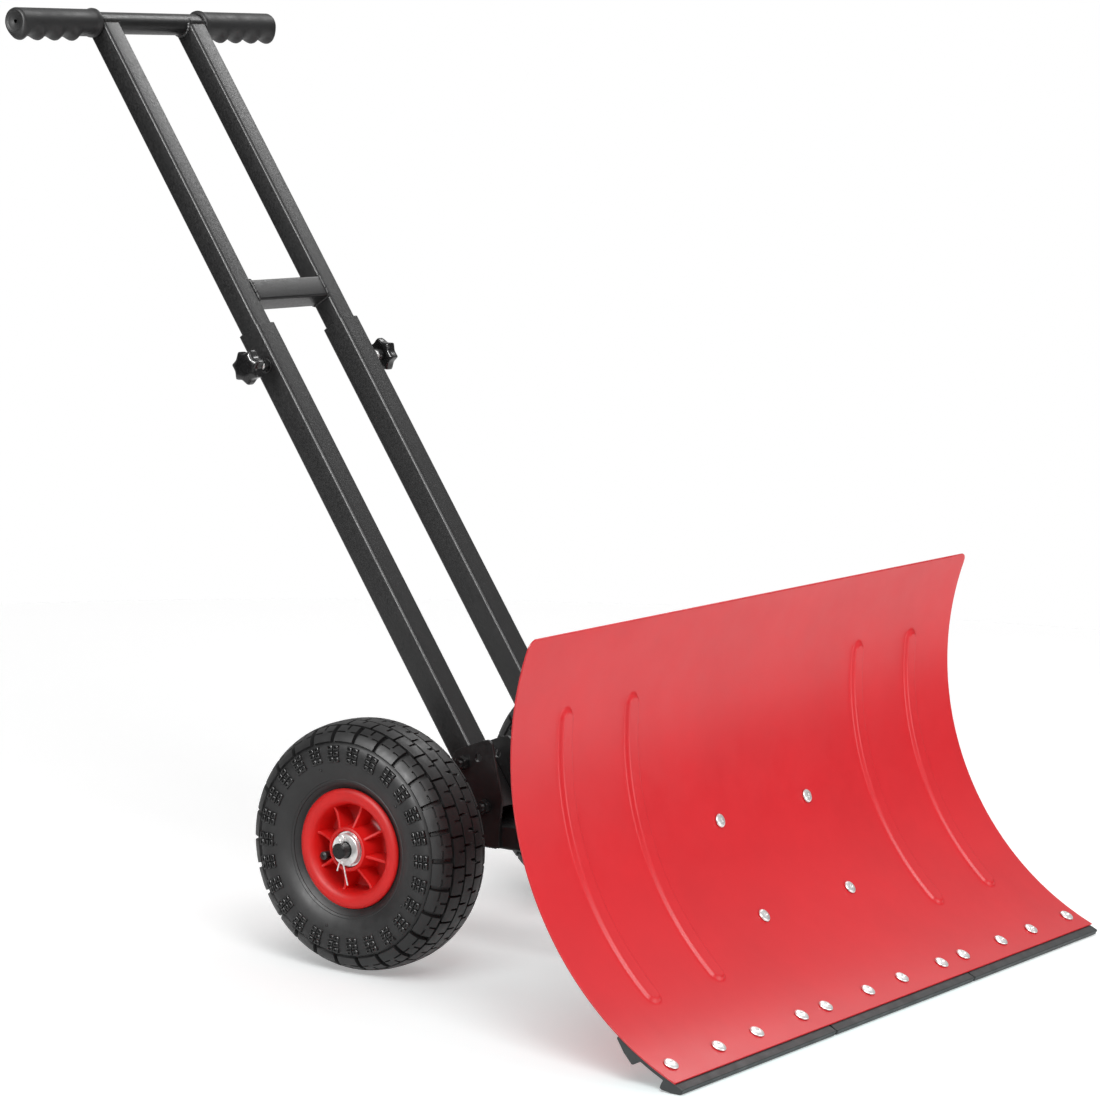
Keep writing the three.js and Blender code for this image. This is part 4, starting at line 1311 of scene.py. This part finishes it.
def screw_posts():
    """Heads of the screws that hold the two rim halves, on the wheel's inner side."""
    head = moved(dome_head(4.6, 2.6), Matrix.Translation((33, 0, 7.2)))
    return joined(*(moved(head, Matrix.Rotation(turn, 4, "Z")) for turn in full_circle(4)))


def valve_shape():
    """The rubber stem: out of the tube through the rim's floor, then bent outwards."""
    bend = [(0, 58, 14), (0, 47, 14), (0, 41, 15.5), (0, 38.4, 19), (0, 38, 23), (0, 38, 25.2)]
    stem = sweep(curve_through(bend, 6), lambda s: 4.0 if s < 12 else 3.8, 20)
    cap = lathe([(0, 24.6), (4.1, 24.6), (4.3, 25.0), (4.3, 28.4), (3.7, 29.0), (0, 29.0)], 28, closed=False)
    cap = moved(cap, Matrix.Translation((0, VALVE_RADIUS_AT, 0)))
    return moved(joined(stem, cap), Matrix.Rotation(VALVE_TURN, 4, "Z"))


def valve_core():
    """The small steel tip in the valve's cap."""
    pin = lathe([(0, 28.6), (1.9, 28.6), (1.9, 29.3), (1.2, 29.7), (0, 29.7)], 20, closed=False)
    pin = moved(pin, Matrix.Translation((0, VALVE_RADIUS_AT, 0)))
    return moved(pin, Matrix.Rotation(VALVE_TURN, 4, "Z"))


def bearing_rings():
    """Outer and inner rings of a ball bearing whose outer face is at BEARING_FACE."""
    top, low = BEARING_FACE, BEARING_FACE - BEARING_WIDTH
    outer = [(15.4, low), (17.7, low), (18.2, low + 0.5), (18.2, top - 0.5), (17.7, top), (15.4, top)]
    inner = [(8.6, low), (8.6, top), (11.0, top), (11.4, top - 0.4), (11.4, low)]
    return joined(lathe(outer, 72), lathe(inner, 56))


def bearing_seal():
    """The dark ring between a bearing's outer and inner rings."""
    top, low = BEARING_FACE - 0.5, BEARING_FACE - BEARING_WIDTH + 0.5
    return lathe([
        (11.3, low), (15.6, low), (15.6, top), (14.6, top), (14.2, top - 0.3), (12.4, top - 0.3),
        (12, top), (11.3, top),
    ], 64)


def spacer_shape():
    """The thick washer outside the hub."""
    low = BEARING_FACE + GAP
    high = low + SPACER_WIDTH
    return lathe([
        (8.3, low), (15.4, low), (16.0, low + 0.6), (16.0, high - 0.6), (15.4, high), (9.0, high),
        (8.3, high - 0.7),
    ], 64)


def tube_ring():
    """The inner tube, blown up."""
    return lathe([
        (AIR_TUBE_RADIUS + AIR_TUBE_HALF_HEIGHT * math.cos(a), AIR_TUBE_HALF_WIDTH * math.sin(a))
        for a in full_circle(24)
    ], 72)


def build_wheel(side, sign, tyre, marks, rim):
    body = f"wheel_{side}"
    place = wheel_place(sign)
    inwards = place @ Matrix.Rotation(math.pi, 4, "X")

    def build(name, shape, slot, node, where=place, sharp=38, **looks):
        piece(f"{name}_{side}", shape, slot, body, node, where, sharp=sharp, **looks)

    build("tyre_casing", tyre, "tyre", f"tyre_{side}", sharp=34)
    build("tyre_marks", marks, "tyre", f"tyre_{side}", sharp=60, material=POLISHED_RUBBER)
    build("air_tube", tube_ring(), "tube_rubber", f"inner_tube_{side}")
    build("valve_stem", valve_shape(), "tube_rubber", f"valve_{side}", sharp=50)
    build("valve_core", valve_core(), "bearing_steel", f"valve_{side}", material=BLACK_OXIDE)
    build("rim_half_outer", rim, "rim_plastic", f"rim_outer_{side}", sharp=40)
    build("rim_half_inner", rim, "rim_plastic", f"rim_inner_{side}", inwards, 40)
    build("rim_screws", screw_posts(), "zinc_steel", (), inwards, 32)
    for face, facing in (("outer", place), ("inner", inwards)):
        node = f"bearing_{face}_{side}"
        build(f"bearing_rings_{face}", bearing_rings(), "bearing_steel", node, facing, 32)
        build(f"bearing_seal_{face}", bearing_seal(), "bearing_steel", node, facing, 32, material=SEAL)
    plated(f"axle_spacer_{side}", spacer_shape(), f"washer_{side}", place)


def build_wheels():
    tyre = tyre_shape()
    marks = sidewall_details()
    rim = rim_half_shape()
    for side, sign in SIDES:
        build_wheel(side, sign, tyre, marks, rim)


# ---------- stage, light and camera ----------


def build_floor():
    """A white disc, a little cyan near the blade to cancel the red light that falls off it."""
    sides = 96
    mesh = bpy.data.meshes.new("floor")
    mesh.from_pydata(circle(FLOOR_RADIUS, 0, sides), [], [tuple(range(sides))])
    floor = bpy.data.objects.new("floor", mesh)
    bpy.context.scene.collection.objects.link(floor)
    finish = Finish("floor_paper", (0.9, 0.9, 0.9), 0.8)
    near_blade = finish.spread(finish.distance((-0.1, -0.45, 0)), 0.2, 0.62, 0.3, 0.7)
    finish.vary_color(near_blade, (0.77, 0.90, 0.90), (0.9, 0.9, 0.9))
    finish.bump(finish.noise(300, 2), 0.05, 0.1)
    finish.set("Specular IOR Level", 0.1)
    finish.set("Emission Color", (1, 1, 1, 1))
    finish.set("Emission Strength", 0.33)
    mesh.materials.append(finish.material)
    floor.location.z = -0.0005


def build_world():
    """White all round, dimmer low down at the front, so that curved faces show their form."""
    world = bpy.data.worlds.new("studio")
    bpy.context.scene.world = world
    world.use_nodes = True
    tree = world.node_tree
    back = tree.nodes["Background"]
    back.inputs["Color"].default_value = (1, 1, 1, 1)
    back.inputs["Strength"].default_value = 1.0
    direction = tree.nodes.new("ShaderNodeTexCoord").outputs["Generated"]
    parts = tree.nodes.new("ShaderNodeSeparateXYZ")
    tree.links.new(direction, parts.inputs["Vector"])

    def spread(value, low, high, out_low, out_high):
        made = tree.nodes.new("ShaderNodeMapRange")
        made.interpolation_type = "SMOOTHSTEP"
        limits = {"From Min": low, "From Max": high, "To Min": out_low, "To Max": out_high}
        for socket, number in limits.items():
            made.inputs[socket].default_value = number
        tree.links.new(value, made.inputs["Value"])
        return made.outputs["Result"]

    def combined(operation, first, second):
        made = tree.nodes.new("ShaderNodeMath")
        made.operation = operation
        tree.links.new(first, made.inputs[0])
        tree.links.new(second, made.inputs[1])
        return made.outputs["Value"]

    behind = spread(parts.outputs["Y"], -0.15, 0.35, 0.0, 1.0)
    above = spread(parts.outputs["Z"], 0.15, 0.6, 0.0, 1.0)
    bright = combined("MAXIMUM", behind, above)
    strength = spread(bright, 0.0, 1.0, WORLD_DIM, WORLD_BRIGHT)
    rightwards = spread(parts.outputs["X"], -0.55, 0.15, WORLD_LEFT, 1.0)
    tree.links.new(combined("MULTIPLY", strength, rightwards), back.inputs["Strength"])
    backdrop = tree.nodes.new("ShaderNodeBackground")
    backdrop.inputs["Strength"].default_value = 1.0
    backdrop.inputs["Color"].default_value = (1, 1, 1, 1)
    seen = tree.nodes.new("ShaderNodeLightPath").outputs["Is Camera Ray"]
    mix = tree.nodes.new("ShaderNodeMixShader")
    for socket, source in enumerate((seen, back.outputs[0], backdrop.outputs[0])):
        tree.links.new(source, mix.inputs[socket])
    tree.links.new(mix.outputs[0], tree.nodes["World Output"].inputs["Surface"])


def aimed_lamp(name, light, back):
    """Adds a lamp that shines away from the given direction."""
    lamp = bpy.data.objects.new(name, light)
    bpy.context.scene.collection.objects.link(lamp)
    lamp.rotation_mode = "QUATERNION"
    lamp.rotation_quaternion = (-Vector(back)).to_track_quat("-Z", "Y")
    return lamp


def sun(name, direction, strength, spread_degrees):
    light = bpy.data.lights.new(name, "SUN")
    light.energy = strength
    light.angle = math.radians(spread_degrees)
    aimed_lamp(name, light, direction)


def softbox(name, place, target, width, height, power, shine_only=False):
    """A flat light facing a target. With shine_only it is seen in reflections and lights nothing else."""
    light = bpy.data.lights.new(name, "AREA")
    light.shape = "RECTANGLE"
    light.size = width
    light.size_y = height
    light.energy = power
    lamp = aimed_lamp(name, light, Vector(place) - Vector(target))
    lamp.location = place
    lamp.visible_diffuse = not shine_only
    lamp.visible_camera = False
    return lamp


def strip_light(name, low, high, target, width, power):
    """A long narrow light from one point to another, seen in reflections only."""
    low, high = Vector(low), Vector(high)
    middle = (low + high) / 2
    lamp = softbox(name, middle, target, width, (high - low).length, power, shine_only=True)
    back = (middle - Vector(target)).normalized()
    across = (high - low).cross(back).normalized()
    along = back.cross(across)
    lamp.rotation_quaternion = Matrix((across, along, back)).transposed().to_quaternion()


def build_lights():
    sun("key", direction=(-0.5, -0.3, 0.8), strength=1.3, spread_degrees=40)
    softbox("front_box", (-2.2, -2.6, 2.9), target=(0, 0, 0.4), width=1.4, height=1.2, power=46)
    softbox("low_box", (0.3, -2.2, 0.45), target=(0, -0.2, 0.35), width=1.6, height=0.5, power=11)
    softbox("high_box", (2.43, 0.09, 2.88), target=(0, 0.8, 0.9), width=1.1, height=1.0, power=31,
            shine_only=True)
    strip_light("edge_strip", (-2.83, -0.25, 1.00), (-2.64, 0.85, 2.42), target=(0, 0.6, 0.55),
                width=0.22, power=150)


def build_camera():
    camera_data = bpy.data.cameras.new("camera")
    camera_data.sensor_width = 36
    camera_data.lens = CAMERA_LENS
    camera_data.clip_end = 200
    camera = bpy.data.objects.new("camera", camera_data)
    bpy.context.scene.collection.objects.link(camera)
    right = Vector((math.cos(CAMERA_TURN), math.sin(CAMERA_TURN), 0))
    back = Vector((
        math.sin(CAMERA_TURN) * math.cos(CAMERA_HEIGHT_ANGLE),
        -math.cos(CAMERA_TURN) * math.cos(CAMERA_HEIGHT_ANGLE),
        math.sin(CAMERA_HEIGHT_ANGLE),
    ))
    up = back.cross(right)
    facing = Matrix((right, up, back)).transposed().to_4x4()
    place = Matrix.Translation(CAMERA_PLACE)
    level = Matrix.Rotation(CAMERA_PITCH, 4, "X")
    axle = Matrix.Translation((0, AXLE_Y * MM, AXLE_Z * MM))
    camera.matrix_world = axle @ level @ place @ facing
    bpy.context.scene.camera = camera


build_blade()
build_scrapers()
build_base_frame()
build_axle()
build_rails()
build_handle_frame()
build_grips()
build_knobs()
build_wheels()
build_floor()
build_world()
build_lights()
build_camera()
bpy.context.scene.view_settings.view_transform = "Standard"
bpy.context.scene.view_settings.look = "None"
